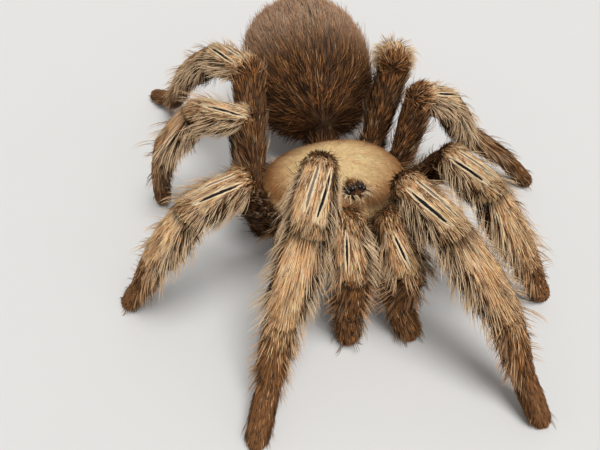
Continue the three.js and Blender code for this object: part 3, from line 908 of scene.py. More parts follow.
class Coat:
    """Hairs gathered in lots and made into one mesh of thin closed spikes, with the draws that vary them."""

    def __init__(self, scene, rng):
        self.settings = scene.tarantula_coat
        self.depth = 1 - scene.tarantula_body.coat_depth
        self.rng = rng
        self.colours = np.array([getattr(self.settings, name) for name in HAIR_COLOURS], float)
        self.lots = []

    def about(self, value, spread, count):
        """A value for each hair, most of them near the one given."""
        return value * np.exp(self.rng.normal(0, spread, count))

    def in_tufts(self, values, spread):
        """A value for each hair from one for each tuft, with a little spread of its own."""
        return np.repeat(values, TUFT, axis=0) + self.rng.normal(0, spread, len(values) * TUFT)

    def strewn(self, low, high, tufts, spread):
        """Values between two ends by tuft, with a little spread by hair."""
        return self.in_tufts(self.rng.uniform(low, high, tufts), spread)

    def swayed(self, by_tuft, by_hair, tufts):
        """Small turns to both sides, by tuft and by hair."""
        return self.in_tufts(self.rng.normal(0, by_tuft, tufts), by_hair)

    def shaded(self, colours, tufts, by_tuft=0.14, by_hair=0.20):
        """Colours made a little lighter or darker by tuft and by hair."""
        return colours * np.exp(self.swayed(by_tuft, by_hair, tufts))[:, None]

    def tinted(self, numbers, tufts):
        """Shaded hair colours, picked from a list of their numbers."""
        return self.shaded(self.colours[self.rng.choice(numbers, tufts * TUFT)], tufts)

    def speckled(self, count, numbers, chances=None):
        """Hair colours picked one by one, each a little lighter or darker."""
        colours = self.colours[self.rng.choice(numbers, count, p=chances)]
        return colours * self.about(1, 0.2, count)[:, None]

    def picked(self, weights):
        """The number of a hair colour for each row of chances."""
        bounds = np.cumsum(weights / weights.sum(axis=1, keepdims=True), axis=1)
        return (self.rng.random(len(weights))[:, None] > bounds).sum(axis=1).clip(0, 4)

    def add(self, root, outward, lie, length, lift, tip, dark, place, rings=2, curl=0.5, width=1.0,
            upright=0.0, fade=0.8, only=None):
        """Hairs from their roots: each leaves the skin at its lift and bends over towards where it lies.

        At the root a hair has its tip's colour times dark, and the less the fade, the sooner that turns into
        the tip's own. The shading follows the skin, or the sky by as much as upright says.
        """
        if only is not None:
            parts = (root, outward, lie, length, lift, tip, dark, place, upright)
            parts = [np.asarray(part)[only] if np.ndim(part) else part for part in parts]
            root, outward, lie, length, lift, tip, dark, place, upright = parts
        count = len(root)
        if count == 0:
            return
        length, lift, dark, upright = [
            np.broadcast_to(value, count)[:, None] for value in (length, lift, dark, upright)]
        lift = lift * DEGREE
        half = width * self.settings.width
        lie = unit(lie - outward * (lie * outward).sum(axis=1, keepdims=True))
        across = np.cross(outward, lie)
        middles = []
        for share in np.linspace(0, 1, rings + 1):
            rise = np.sin(lift) * (share - curl * share**2)
            middles.append(root + length * (lie * np.cos(lift) * share + outward * rise))
        middles = inside_room(np.stack(middles, axis=1))
        tangents = unit(np.diff(middles, axis=1))
        points = np.empty((count, rings * 3 + 1, 3))
        normals = np.empty_like(points)
        roll = self.rng.normal(0, 0.5, (count, 1))
        facing = unit(outward * (1 - upright) + UP * upright)
        for ring in range(rings):
            over = unit(np.cross(tangents[:, ring], across))
            for k in range(3):
                angle = roll - math.pi / 2 + k * FULL_TURN / 3
                off = across * np.cos(angle) + over * (0.6 * np.sin(angle))
                points[:, ring * 3 + k] = middles[:, ring] + off * half * HAIR_WIDTHS[rings][ring]
                normals[:, ring * 3 + k] = facing + off * SHEEN
        points[:, -1] = middles[:, -1]
        normals[:, -1] = facing + tangents[:, -1] * 0.3
        steps = np.append(np.repeat(np.arange(rings), 3), rings) / rings
        shade = steps[None, :, None] ** fade
        colours = (tip * dark)[:, None, :] * (1 - shade) + tip[:, None, :] * shade
        self.lots.append((rings, points, unit(normals), colours, place))

    def mesh(self, name):
        points, normals, colours, triangles, corners = [], [], [], [], []
        first = 0
        for rings, lot_points, lot_normals, lot_colours, place in self.lots:
            template, patch = TEMPLATES[rings]
            count, each = lot_points.shape[:2]
            starts = first + np.arange(count) * each
            triangles.append((starts[:, None, None] + template[None]).reshape(-1, 3))
            spot = np.clip(place, PATCH, 1 - PATCH)
            corners.append((spot[:, None, None, :] + (patch[None] - 0.5) * PATCH).reshape(-1, 2))
            for gathered, lot in ((points, lot_points), (normals, lot_normals), (colours, lot_colours)):
                gathered.append(lot.reshape(-1, 3))
            first += count * each
        points, triangles = np.concatenate(points), np.concatenate(triangles)
        mesh = bpy.data.meshes.new(name)
        mesh.vertices.add(len(points))
        mesh.vertices.foreach_set("co", points.astype(np.float32).ravel())
        mesh.loops.add(triangles.size)
        mesh.loops.foreach_set("vertex_index", triangles.astype(np.int32).ravel())
        mesh.polygons.add(len(triangles))
        mesh.polygons.foreach_set("loop_start", np.arange(len(triangles), dtype=np.int32) * 3)
        mesh.update(calc_edges=True)
        mesh.shade_smooth()
        mesh.normals_split_custom_set_from_vertices(np.concatenate(normals).astype(np.float32))
        layer = mesh.uv_layers.new(name="OFBake")
        layer.data.foreach_set("uv", np.concatenate(corners).astype(np.float32).ravel())
        put_colours(mesh, "hair", np.clip(np.concatenate(colours), 0, 1))
        return mesh


def buried(places, own, depth):
    """Which places lie inside another segment's skin."""
    inside = np.zeros(len(places), bool)
    for segments in LIMBS.values():
        for segment in segments:
            if segment is not own:
                inside |= segment.seen_from(places)[2] < depth * CLEAR_FROM
    return inside


def even_pairs(count, rng):
    """Pairs of numbers from 0 to 1, spread so evenly that they leave no bare gaps."""
    jitter = rng.uniform(-0.4, 0.4, (count, 2)) / math.sqrt(count)
    return (np.arange(count)[:, None] * EVEN_STEPS + rng.random(2) + jitter) % 1.0


def spread_round(even, below):
    """Angles round a limb from numbers between 0 and 1, with fewer of them on its underside."""
    reach = (2 * even - 1) * (UNDERSIDE_FROM + below * (math.pi - UNDERSIDE_FROM))
    past = np.maximum(np.abs(reach) - UNDERSIDE_FROM, 0)
    return np.sign(reach) * (np.minimum(np.abs(reach), UNDERSIDE_FROM) + past / below)


def limb_coat(coat, name, hairs):
    """The hairs of one limb."""
    segments = LIMBS[name]
    areas = np.array([s.length * s.radii.mean() * COAT_SHAPE[s.kind]["density"] for s in segments])
    runs = np.cumsum([0] + [s.length for s in segments])
    for index, segment in enumerate(segments):
        tufts = int(hairs * areas[index] / areas.sum() / TUFT)
        span = (runs[index] / runs[-1], segment.length / runs[-1])
        over = (0.2 if segment is segments[-1] or segment.kind.endswith("patella") else 0.45) * MM
        segment_coat(coat, segment, tufts, span, over)
    foot_tip(coat, segments[-1])
    hip_start(coat, segments[0])
    for along, before, after in zip(runs[1:] / runs[-1], segments, segments[1:]):
        joint_tufts(coat, before, after, along, name.endswith("palp"))


def segment_coat(coat, segment, tufts, span, over):
    """The hairs of a segment: short and lying ones, and long ones that stand out from its flanks.

    They reach past its end by about as much as over says. The span is its place on the bake map.
    """
    rng, kind, look = coat.rng, segment.kind, COAT_SHAPE[segment.kind]
    stripes, is_light = STRIPES.get(kind, []), kind in LIGHT_KINDS
    even = even_pairs(tufts, rng)
    share, around = even[:, 0] * 1.02 - 0.02, spread_round(even[:, 1], 1.0 if kind == "coxa" else 0.33)
    sides = flank_of(around) * ramp(np.abs(around), 2.5, 1.8)
    is_long = np.repeat(rng.random(tufts) < look["long_share"] * (0.3 + 1.5 * sides), TUFT)
    share = coat.in_tufts(share, 0.18 * MM / segment.length)
    around = (coat.in_tufts(around, 0.11) + math.pi) % FULL_TURN - math.pi
    rear, flank, count = around * segment.hand, flank_of(around), len(around)
    gap = stripe_gap(rear, share, stripes)
    beside = ramp(gap, 0.3, 0)
    is_long &= gap > 0.12
    outward = segment.outward(around)
    droop = 0.06 if kind in FOOT_KINDS else 0.26 + 0.2 * flank * is_light
    fan = droop * np.sin(around) * (1 - beside)
    slope = np.mean([line["far"] - line["near"] for line in stripes]) if stripes else 0
    lean = beside * slope * segment.hand * segment.radius(share) / segment.length
    lie = segment.axis * np.cos(fan)[:, None]
    lie = lie + np.cross(segment.axis, outward) * (np.sin(fan) + lean)[:, None]
    lie = turned(lie, outward, coat.swayed(0.10, 0.07, tufts) * (0.4 + 0.9 * flank) * (1 - beside))
    pick = coat.picked(coat_weights(kind, share, rear))
    alike = (rng.random(count) < np.where(flank > 0.3, 0.4, 0.22)) & (gap > 0.15) | is_long
    pick = np.where(alike, np.repeat(pick[::TUFT], TUFT), pick)
    variety = 0.8 + 0.2 * flank if is_light else 0.4 if kind == "tarsus" else 0.7
    tip = coat.colours[pick] * np.exp(coat.swayed(0.14, 0.20, tufts) * variety)[:, None]
    if segment.is_rear and kind in ("tibia", "metatarsus"):
        tip = tip * REAR_TINT
    # Roots darker on the flanks: partly the hairs' own dark bases, partly painted shade.
    dark = (0.8 if is_light or kind == "tarsus" else 0.5) * (1 - flank) + 0.2 * flank
    if kind.endswith("tibia"):
        # Painted shadow: the roots at the start of a tibia are darkened into a dark line for the crease where
        # the knee segment ends.
        dark = dark * (1 - 0.9 * ramp(share, 0.085, 0.055))
    length = coat.about(look["length"] * MM, 0.16, count) * (0.85 + 0.3 * flank)
    room = (1 - share) * segment.length + over * rng.uniform(0.6, 1.3, count)
    length = np.minimum(length, np.maximum(room, 0.5 * MM))
    room = room_before_stripes(rear, share, stripes) * segment.length
    length = np.minimum(length, np.maximum(room, 0.4 * MM))
    lift = coat.about(look["lift"], 0.25, count) * (0.65 + 0.7 * flank) * (1 - 0.4 * beside)
    place = on_map(around, span[0] + share * span[1])
    root = segment.at(share, around, coat.depth - ROOT_DEPTH)
    is_clear = ~buried(root, segment, coat.depth) & (gap > 0)
    is_under, is_low, upright = rng.random(count) < 0.8, is_clear & ~is_long, 0.45 * (1 - flank)
    coat.add(
        root, outward, lie, length * 0.85, lift * 0.8, tip, dark, place, rings=1, upright=upright,
        only=is_low & is_under)
    coat.add(root, outward, lie, length, lift, tip, dark, place, upright=upright, only=is_low & ~is_under)
    pale = mixed(coat.colours[1], coat.colours[0], 0.3)
    tip = mixed(tip, pale, look["paleness"] * (0.5 + 0.5 * flank))
    length = look["long"] * MM * np.exp(coat.swayed(0.2, 0.1, tufts))
    lift = look["long_lift"] * np.exp(coat.swayed(0.25, 0.06, tufts))
    coat.add(
        root, outward, lie, length, lift, tip, 0.06, place, rings=3, curl=0.55, width=0.8, upright=0.85,
        fade=0.5, only=is_clear & is_long)
    for line in stripes:
        edge_stripe(coat, segment, line, span)
    if is_light or kind in ("metatarsus", "palp_tibia"):
        bristles(coat, segment, coat.colours[1] if is_light else coat.colours[0] * 0.8, span)


def bristles(coat, segment, colour, span):
    """Single straight hairs that stand out from the flanks."""
    rng, count = coat.rng, BRISTLES
    share = rng.uniform(0.05, 0.95, count)
    around = rng.uniform(0.75, 1.9, count) * rng.choice([-1, 1], count)
    outward = segment.outward(around)
    lie = segment.axis + np.cross(segment.axis, outward) * 0.3 * np.sign(around)[:, None]
    length = COAT_SHAPE[segment.kind]["long"] * rng.uniform(0.7, 1.15, count) * MM
    tip = colour * coat.about(1, 0.1, count)[:, None]
    lift = rng.uniform(32, 52, count)
    root = segment.at(share, around, coat.depth - ROOT_DEPTH)
    place = on_map(around, span[0] + share * span[1])
    coat.add(
        root, outward, lie, length, lift, tip, 0.3, place, rings=3, curl=0.3, width=0.85, upright=0.9, fade=0.4)


def edge_stripe(coat, segment, line, span):
    """A row of cream hairs along both edges of a bare stripe."""
    share = np.linspace(line["first"] - 0.06, line["last"] + 0.02, EDGE_HAIRS)
    half = line["half"] * (0.25 + 0.75 * stripe_width(line, share)) + 0.035
    turn = (line["far"] - line["near"]) * segment.hand * segment.radius(share)[:, None] / segment.length
    for edge in (-1, 1):
        rear = stripe_middle(line, share) + edge * half + coat.rng.normal(0, 0.018, EDGE_HAIRS)
        around = rear * segment.hand
        outward = segment.outward(around)
        tip = coat.colours[1] * coat.about(1, 0.14, EDGE_HAIRS)[:, None]
        lie = segment.axis + np.cross(segment.axis, outward) * turn
        place = on_map(around, span[0] + share * span[1])
        coat.add(
            segment.at(share, around, EDGE_DEPTH), outward, lie, 1.1 * MM, 9.0, tip, 0.9, place, rings=1,
            width=0.85, upright=0.45)


def dome_roots(middle, radius, towards, pull, tufts, rng):
    """Roots on a ball about a joint and the ways out of it, gathered on the side they are pulled towards."""
    outward = unit(rng.normal(0, 1, (tufts, 3)) + towards * pull)
    outward = unit(np.repeat(outward, TUFT, axis=0) + rng.normal(0, 0.11, (tufts * TUFT, 3)))
    return middle + outward * radius, outward


def round_place(segment, outward, along):
    """Places on the bake map, at one height, by the angle about a segment."""
    return on_map(np.arctan2(outward @ segment.side, outward @ segment.upper), along)


def joint_tufts(coat, before, after, along, is_palp):
    """Hairs over the outer side of a joint, standing up in a ruff at the knee."""
    rng, is_knee, is_hip = coat.rng, after.kind.endswith("patella"), after.kind == "femur"
    tufts = TUFTS["knee" if is_knee or is_hip else "joint"]
    radius = max(before.radius(1.0), after.radius(0.0)) * coat.depth * 0.98
    pull = 1.3 if is_knee or is_hip else 0.6
    root, outward = dome_roots(after.start, radius, unit(before.axis - after.axis), pull, tufts, rng)
    count = len(outward)
    lie = after.axis * 0.75 + before.axis * 0.25 + rng.normal(0, 0.12, (count, 3))
    mix = REAR_KNEE_MIX if is_knee and after.is_rear else JOINT_MIX.get(after.kind, DARK_MIX)
    pick, reach = rng.choice(5, count, p=mix), outward @ after.axis
    if is_knee:
        is_rim = reach + rng.normal(0, 0.12, count) < (-0.75 if is_palp else -0.5)
        pick = np.where(is_rim, rng.choice(5, count, p=DARK_MIX), pick)
    tip = coat.shaded(coat.colours[pick], tufts)
    length = coat.about((1.5 if is_hip else 1.0) * MM, 0.3, count)
    if after.kind.endswith("tibia"):
        # Painted shadow: short dark hairs line the crease, and those before it end there.
        in_crease = (reach > 0) & (reach < 0.3)
        tip[in_crease] = coat.colours[4]
        length = np.where(in_crease, 0.4 * MM, length)
        length = np.where(reach < 0, np.minimum(length, 0.3 * MM - reach * radius), length)
    lift = coat.about(24 if is_knee else 14, 0.35, count)
    coat.add(
        root, outward, lie, length, lift, tip, 0.45, round_place(after, outward, along),
        rings=2 if is_knee else 1, only=~buried(root, None, coat.depth * CLEAR_FROM))


def hip_start(coat, segment):
    """Hairs over the domed inner end of a coxa, beside the sternum."""
    radius = segment.radius(0) * coat.depth * 0.98
    root, outward = dome_roots(segment.start, radius, -segment.axis, 1.0, TUFTS["hip"], coat.rng)
    clear = ~buried(root, None, coat.depth * CLEAR_FROM)
    root, outward, count = root[clear], outward[clear], clear.sum()
    lie = segment.axis + coat.rng.normal(0, 0.25, (count, 3))
    tip = coat.speckled(count, BROWN)
    coat.add(root, outward, lie, 1.5 * MM, 22.0, tip, 0.4, round_place(segment, outward, 0.01), rings=1)


def foot_tip(coat, segment):
    """Short velvet over the domed end of a foot, lying towards its tip."""
    end, radius = segment.middle([1.0], FOOT_BACK * MM)[0], segment.radius(1.0) * coat.depth * 0.97
    root, outward = dome_roots(end, radius, segment.axis, 0.8, TUFTS["foot"], coat.rng)
    ahead = outward @ segment.axis > -0.15
    root, outward, count = root[ahead], outward[ahead], ahead.sum()
    lie = segment.axis + coat.rng.normal(0, 0.15, (count, 3)) - 0.35 * segment.upper
    tip = coat.speckled(count, 5, COAT_MIX[segment.kind])
    coat.add(root, outward, lie, 0.7 * MM, 24.0, tip, 0.5, round_place(segment, outward, 0.99))


def on_disc(ring, turn):
    """Points of a disc one across."""
    return np.stack([ring * np.cos(turn), ring * np.sin(turn)], axis=1)


def on_ball(disc, way=1):
    """Points of a ball one across, above or below points of a disc."""
    rise = np.sqrt(np.maximum(0, 1 - (disc**2).sum(axis=1, keepdims=True)))
    return np.concatenate([disc, way * rise], axis=1)


def egg_skin(ball, middle, halves):
    """Places on an egg on the level front body, and the ways out of it, both in the row's frame."""
    return placed(ball * halves + middle), unit(aimed(ball / halves))


def shield_skin(disc):
    """Places on the shield's top, and the ways out of it, both in the row's frame."""
    def here(spots):
        return placed(shield_place(on_ball(spots), SHIELD_GROOVES))

    step = 1e-3
    inner = disc * (1 - 2 * step)
    steps = [here(inner + way) - here(inner - way) for way in np.eye(2) * step]
    return here(disc), unit(np.cross(*steps))


def shield_coat(coat):
    """Short golden hairs over the shield, and a fringe round its edge."""
    rng, settings, (cream, rust, brown) = coat.rng, coat.settings, coat.colours[1:4]
    gold = np.array(settings.gold)
    tufts = int(settings.shield_hairs * 0.9 / TUFT)
    count = tufts * TUFT
    ring = np.clip(coat.in_tufts(np.sqrt(rng.random(tufts)), 0.012), 0.01, 0.985)
    disc = on_disc(ring, coat.strewn(0, FULL_TURN, tufts, 0.012))
    root, outward = shield_skin(disc)
    pit = placed([0, FOVEA["y"], PROSOMA["height"] + SHIELD["height"]])
    lie = turned(unit(root - pit), outward, coat.swayed(0.2, 0.12, tufts))
    x, y = (disc * SHIELD_HALVES).T
    furrow = np.maximum(groove_depth(x, y), pit_mark(x, y) * 2)
    # Towards the edge the hairs turn brown, partly the shield's own rim and partly painted shade on its slopes;
    # near the middle stand more cream hairs, partly a painted highlight.
    edge = ramp(ring, 0.38, 0.88)
    tip = mixed(gold, rust * 0.55 + brown * 0.45, np.clip(
        0.95 * edge**1.6 + 0.45 * furrow + rng.normal(0, 0.06, count), 0, 1))
    tip = mixed(tip, cream, 0.5 * (rng.random(count) < 0.4 * (1 - edge)))
    from_mound = np.hypot(x / 1.5, (y - MOUND_Y) / 1.15)
    grey = np.maximum(0.75 * bell(from_mound, 0.35, 1), 0.5 * bell(x, 2.4) * ramp(y, -7.6, -8.4))
    tip = coat.shaded(mixed(tip, np.array(settings.grey), grey), tufts, 0.11, 0.14)
    length = coat.about((0.62 + 0.35 * edge) * MM, 0.18, count)
    lift = coat.about(7 + 10 * edge, 0.3, count)
    coat.add(
        root, outward, lie, length, lift, tip, 1.0, disc * 0.48 + 0.5, rings=1, width=0.7,
        upright=0.8 * (1 - edge), only=(from_mound > 1) & (pit_mark(x, y) < 0.4))
    # The fringe, which is longest in front.
    tufts = int(settings.shield_hairs * 0.1 / TUFT)
    disc, root, outward, lie = rim_roots(coat, tufts, (0, FULL_TURN), (0.955, 0.995), 0.997, 0.25)
    tip = coat.shaded(mixed(gold, rust, rng.random(len(root)) * 0.6), tufts)
    front = np.clip(-unit(disc)[:, 1], 0, 1)
    length = coat.about((0.8 + 0.5 * front) * MM, 0.2, len(root))
    coat.add(root, outward, lie, length, 22.0, tip, 0.45, disc * 0.48 + 0.5, curl=0.9)
    mound_fuzz(coat)
    # A dark ruff behind the shield, over the waist: real hairs, drawn dark partly as painted shade in the gap
    # between the shield and the abdomen.
    tufts, turns = TUFTS["shield_ruff"], (0.14 * math.pi, 0.86 * math.pi)
    disc, root, outward, lie = rim_roots(coat, tufts, turns, (0.97, 0.998), 0.998, 0.3)
    tip = coat.tinted(DARK_BROWN, tufts)
    length = coat.about(2.8 * MM, 0.25, len(root))
    coat.add(root - UP * 0.5 * MM, outward, lie, length, 4.0, tip, 0.4, disc * 0.48 + 0.5, curl=0.9)


def rim_roots(coat, tufts, turns, rings, highest, sway):
    """Points near the edge of the shield's disc, and their roots and ways out of it and outwards along it."""
    turn = coat.strewn(*turns, tufts, 0.02)
    disc = on_disc(np.clip(coat.strewn(*rings, tufts, 0.004), 0.9, highest), turn)
    root, outward = shield_skin(disc)
    away = unit(root - placed([0, 0, PROSOMA["height"]]))
    return disc, root, outward, turned(away, outward, coat.rng.normal(0, sway, len(root)))


def mound_fuzz(coat):
    """Fuzz between the eyes and round their mound, with a few long bristles."""
    rng, count = coat.rng, MOUND_FUZZ
    rise = rng.uniform(0.0, 1.0, count) ** 1.3
    level = np.sqrt(1 - rise**2)
    ball = np.column_stack([on_disc(level, rng.uniform(0, FULL_TURN, count)), rise])
    local = ball * MOUND_HALVES
    clear = np.ones(count, bool)
    for sideways, forward, radius in EYES:
        clear &= np.hypot(np.abs(local[:, 0]) - sideways, local[:, 1] + forward) > radius * 1.12
    root, outward = egg_skin(ball, MOUND_MIDDLE, MOUND_HALVES)
    lie = unit(outward * (1, 1, 0) + aimed((0, 0.9, 0)) + rng.normal(0, 0.35, (count, 3)))
    tip = coat.speckled(count, 5, MOUND_MIX)
    rear = np.clip(ball[:, 1] + 0.3, 0, 1)
    in_crest = (rng.random(count) < 0.5) & (ball[:, 1] > 0.1) & (np.abs(ball[:, 0]) < 0.5)
    tip[in_crest] = coat.colours[2] * 0.9
    length = coat.about((0.35 + 0.25 * level + 0.5 * rear + 0.5 * in_crest) * MM, 0.25, count)
    place = (local + MOUND_MIDDLE)[:, :2] / SHIELD["width"] + 0.5
    lift = np.where(in_crest, 55.0, 38.0)
    coat.add(root, outward, lie, length, lift, tip, 0.4, place, width=0.7, only=clear)
    count = MOUND_BRISTLES
    level = on_disc(1.02, rng.uniform(-math.pi, 0, count)) * MOUND_HALVES[:2]
    level = np.column_stack([level, np.full(count, 0.306)])
    outward = unit(aimed((0, -0.2, 1.0)) + rng.normal(0, 0.2, (count, 3)))
    lie = unit(aimed(level * (0.8, 1, 0) + (0, -0.6, 0)) + rng.normal(0, 0.3, (count, 3)))
    tip, place = np.tile(coat.colours[1], (count, 1)), level[:, :2] / SHIELD["width"] + 0.5
    length = rng.uniform(1.3, 2.5, count) * MM
    root = placed(level + MOUND_MIDDLE)
    coat.add(root, outward, lie, length, 38.0, tip, 0.8, place, rings=3, curl=0.7, upright=0.5)


def belly_coat(coat):
    """Long lying hairs of the abdomen, with redder ones standing out towards its rear and sides."""
    rng, tufts = coat.rng, int(coat.settings.abdomen_hairs / TUFT)
    count = tufts * TUFT
    share = np.clip(coat.strewn(-0.985, 0.985, tufts, 0.012), -0.99, 0.99)
    turn = coat.strewn(-math.pi, math.pi, tufts, 0.03)
    root, outward = BELLY.at(turn, share, -BELLY_ROOT * MM), BELLY.outward(turn, share)
    droop = np.clip(share + 0.3, 0, 1)[:, None] * (0, 0, -0.45)
    lie = turned(unit(BELLY.ahead(turn, share) + droop), outward, coat.swayed(0.14, 0.07, tufts))
    below, side = ramp(np.abs(turn), 1.9, 2.7), bell(np.abs(turn), 0.5, 1.5)
    rear, front, face = ramp(share, 0.2, 1.0), ramp(share, -0.45, -0.85), ramp(share, 0.1, -0.7)
    # More tan and cream towards the rear: partly the abdomen's own paler hairs, partly painted sheen.
    more = [0.4 * rear, 0.25 * rear, 0.5 * rear + 0.25 * side]
    # The underside gets more brown and dark hairs, and so does the front face, which turns forward and down:
    # there this is partly its own darker colour and partly painted shade.
    more += [0.4 * below + 0.5 * face, 0.4 * below + 1.6 * face]
    pick = coat.picked(COAT_MIX["abdomen"] + np.stack(more, axis=1))
    pick = np.where(rng.random(count) < 0.15, np.repeat(pick[::TUFT], TUFT), pick)
    tip = coat.shaded(coat.colours[pick], tufts, 0.08, 0.13)
    # Partly painted sheen: towards the top and rear the hairs turn paler and greyer.
    tip = mixed(tip, PALE_REAR_AND_SHEEN, 0.8 * ramp(share, -0.5, 0.1) ** 1.5 * (1 - 0.6 * below))
    is_long = rng.random(count) < 0.10 + 0.10 * rear + 0.06 * side
    length = coat.about((2.2 - 0.6 * below) * MM, 0.2, count) * (1 + 0.45 * front)
    lift = coat.about(14 + 26 * front, 0.3, count)
    place = on_map(turn, (share + 1) / 2)
    is_under = rng.random(count) < 0.66
    coat.add(
        root, outward, lie, length, lift * 0.8, tip, 0.5, place, rings=1, width=0.9, only=~is_long & is_under)
    coat.add(root, outward, lie, length, lift, tip, 0.45, place, width=0.9, only=~is_long & ~is_under)
    tip = mixed(tip, coat.colours[2] * 0.85 + coat.colours[0] * 0.12, 0.65 - 0.5 * face)
    root, outward, lie, tip, place = [each[is_long] for each in (root, outward, lie, tip, place)]
    length, lift = coat.about(3.3 * MM, 0.2, len(root)), coat.about(26, 0.25, len(root))
    coat.add(root, outward, lie, length, lift, tip, 0.35, place, rings=3, curl=0.6, width=0.8)
    belly_ruff(coat)


def belly_ruff(coat):
    """Long dark hairs that stand out round the front of the abdomen, over the waist, dark partly as painted
    shade in the gap there.
    """
    tufts = TUFTS["belly_ruff"]
    share = np.clip(coat.strewn(-0.93, -0.5, tufts, 0.015), -0.97, -0.4)
    turn = coat.strewn(-2.3, 2.3, tufts, 0.04)
    outward = BELLY.outward(turn, share)
    lie = turned(BELLY.ahead(turn, share), outward, coat.rng.normal(0, 0.5, len(share)))
    tip = coat.tinted((2, 3, 3, 4, 4, 4), tufts)
    length, lift = coat.about(3.2 * MM, 0.2, len(share)), coat.about(62, 0.15, len(share))
    place = on_map(turn, (share + 1) / 2)
    coat.add(BELLY.at(turn, share, -BELLY_ROOT * MM), outward, lie, length, lift, tip, 0.3, place, curl=0.4)


def chelicera_skin(side, share, around, depth):
    """Points round a chelicera, and the ways out of it and down it, in the row's frame."""
    step, across = 1e-3, (1.0, 0, 0)
    down = unit(chelicera_curve(side, share + step) - chelicera_curve(side, share - step))
    out = np.sin(around)[:, None] * np.cross(down, across)
    out[:, 0] += np.cos(around) * CHELICERA["slimness"]
    places = chelicera_curve(side, share) + out * chelicera_radius(share, depth)[:, None]
    return placed(places), unit(aimed(out)), unit(aimed(down))


def face_coat(coat):
    """Hairs of the two chelicerae, some of them long, pale and hanging."""
    rng, tufts = coat.rng, int(coat.settings.face_hairs / TUFT)
    depth = 1 - (1 - coat.depth) * FACE_COAT
    for side in SIDES.values():
        share = np.clip(coat.strewn(0.02, 1.0, tufts, 0.02), 0.01, 0.99)
        around = coat.strewn(-math.pi, math.pi, tufts, 0.12)
        root, outward, down = chelicera_skin(side, share, around, depth)
        lie = turned(down, outward, coat.swayed(0.18, 0.1, tufts))
        pick = coat.picked(np.tile(COAT_MIX["chelicera"], (len(share), 1)))
        tip = coat.shaded(coat.colours[pick], tufts)
        is_long = rng.random(len(share)) < 0.28
        place = on_map(around, share) * (0.5, 1) + (0.5 if side > 0 else 0, 0)
        low = [each[~is_long] for each in (root, outward, lie, tip, place)]
        tall = [each[is_long] for each in (root, outward, lie, tip, place)]
        length = coat.about(1.3 * MM, 0.2, len(low[0]))
        coat.add(*low[:3], length, 16.0, low[3], 0.4, low[4], rings=1)
        pale = mixed(coat.colours[1], coat.colours[3], 0.25)
        length, lift = coat.about(2.8 * MM, 0.2, len(tall[0])), coat.about(28, 0.4, len(tall[0]))
        coat.add(
            *tall[:3], length, lift, mixed(tall[3], pale, 0.65), 0.25, tall[4], rings=3, curl=0.6, width=0.75,
            upright=0.5, fade=0.6)


def under_coat(coat):
    """Short dark hairs of the waist, the sternum, the flesh round it and the spinnerets."""
    rng, line = coat.rng, waist_line()
    waist, tufts = Segment("coxa", line[0], line[2], UP, 0.5), TUFTS["waist"]
    share, around = coat.strewn(0.2, 1.0, tufts, 0.02), coat.strewn(-math.pi, math.pi, tufts, 0.2)
    outward = waist.outward(around)
    lie = turned(waist.axis, outward, rng.normal(0, 0.3, len(share)))
    tip = coat.tinted((3, 4, 4, 4), tufts)
    place = np.stack([0.05 + 0.03 * around / math.pi, 0.1 + 0.3 * share], axis=1)
    length = coat.about(3.0 * MM, 0.25, len(share))
    coat.add(waist.at(share, around, 1.0), outward, lie, length, 62.0, tip, 0.4, place)
    tufts = TUFTS["sternum"]
    turn = coat.strewn(0, FULL_TURN, tufts, 0.05)
    disc = on_disc(np.clip(coat.in_tufts(np.sqrt(rng.random(tufts)), 0.03), 0.02, 0.97), turn)
    root, outward = egg_skin(on_ball(disc, -1), STERNUM_MIDDLE, STERNUM_HALVES)
    lie = turned(aimed((0, 1.0, 0)), outward, rng.normal(0, 0.3, len(disc)))
    coat.add(root, outward, lie, 0.9 * MM, 24.0, coat.tinted(BROWN, tufts), 0.4, disc * 0.3 + 0.35)
    # The flesh between the sternum, the coxae and the edge of the shield.
    tufts = TUFTS["core"]
    turn = coat.strewn(0, FULL_TURN, tufts, 0.04)
    disc = on_disc(np.clip(coat.in_tufts(np.sqrt(rng.uniform(0.2, 1.0, tufts)), 0.02), 0.4, 0.995), turn)
    root, outward = egg_skin(on_ball(disc, -1), CORE_MIDDLE, CORE_HALVES)
    away = unit(aimed(on_ball(disc, 0)))
    lie = turned(away, outward, rng.normal(0, 0.35, len(disc)))
    tip = coat.tinted(BROWN, tufts)
    length, place = coat.about(1.3 * MM, 0.25, len(disc)), disc * 0.2 + (0.75, 0.25)
    coat.add(root, outward, lie, length, 30.0, tip, 0.4, place, rings=1, only=~buried(root, None, coat.depth))
    for side in SIDES:
        segment, tufts = spinneret_segment(side), TUFTS["spinneret"]
        share = np.clip(coat.strewn(0.1, 1.0, tufts, 0.02), 0, 1)
        around = coat.strewn(-math.pi, math.pi, tufts, 0.2)
        outward = segment.outward(around)
        lie = turned(segment.axis, outward, rng.normal(0, 0.2, len(share)))
        pick = coat.picked(np.tile(COAT_MIX["spinneret"], (len(share), 1)))
        tip = coat.shaded(coat.colours[pick], tufts)
        across = around / FULL_TURN * 0.2 + (0.75 if side == "left" else 0.95)
        place = np.stack([across, share * 0.3 + 0.65], axis=1)
        coat.add(segment.at(share, around, 0.8), outward, lie, 1.1 * MM, 20.0, tip, 0.4, place)


# ---- Finishes ----
def coat_finish(name):
    """Hair: the colour kept on each hair, with a faint mottle, and a satin gloss."""
    surface = Surface(name)
    mottle = surface.noise(900.0, detail=2.0)
    colour = surface.mix(mottle.step(0.35, 0.75) * 0.07, surface.kept("hair", "Color"), (0.10, 0.055, 0.03))
    return surface.finish(base_color=colour, roughness=0.7, specular_ior_level=0.06)


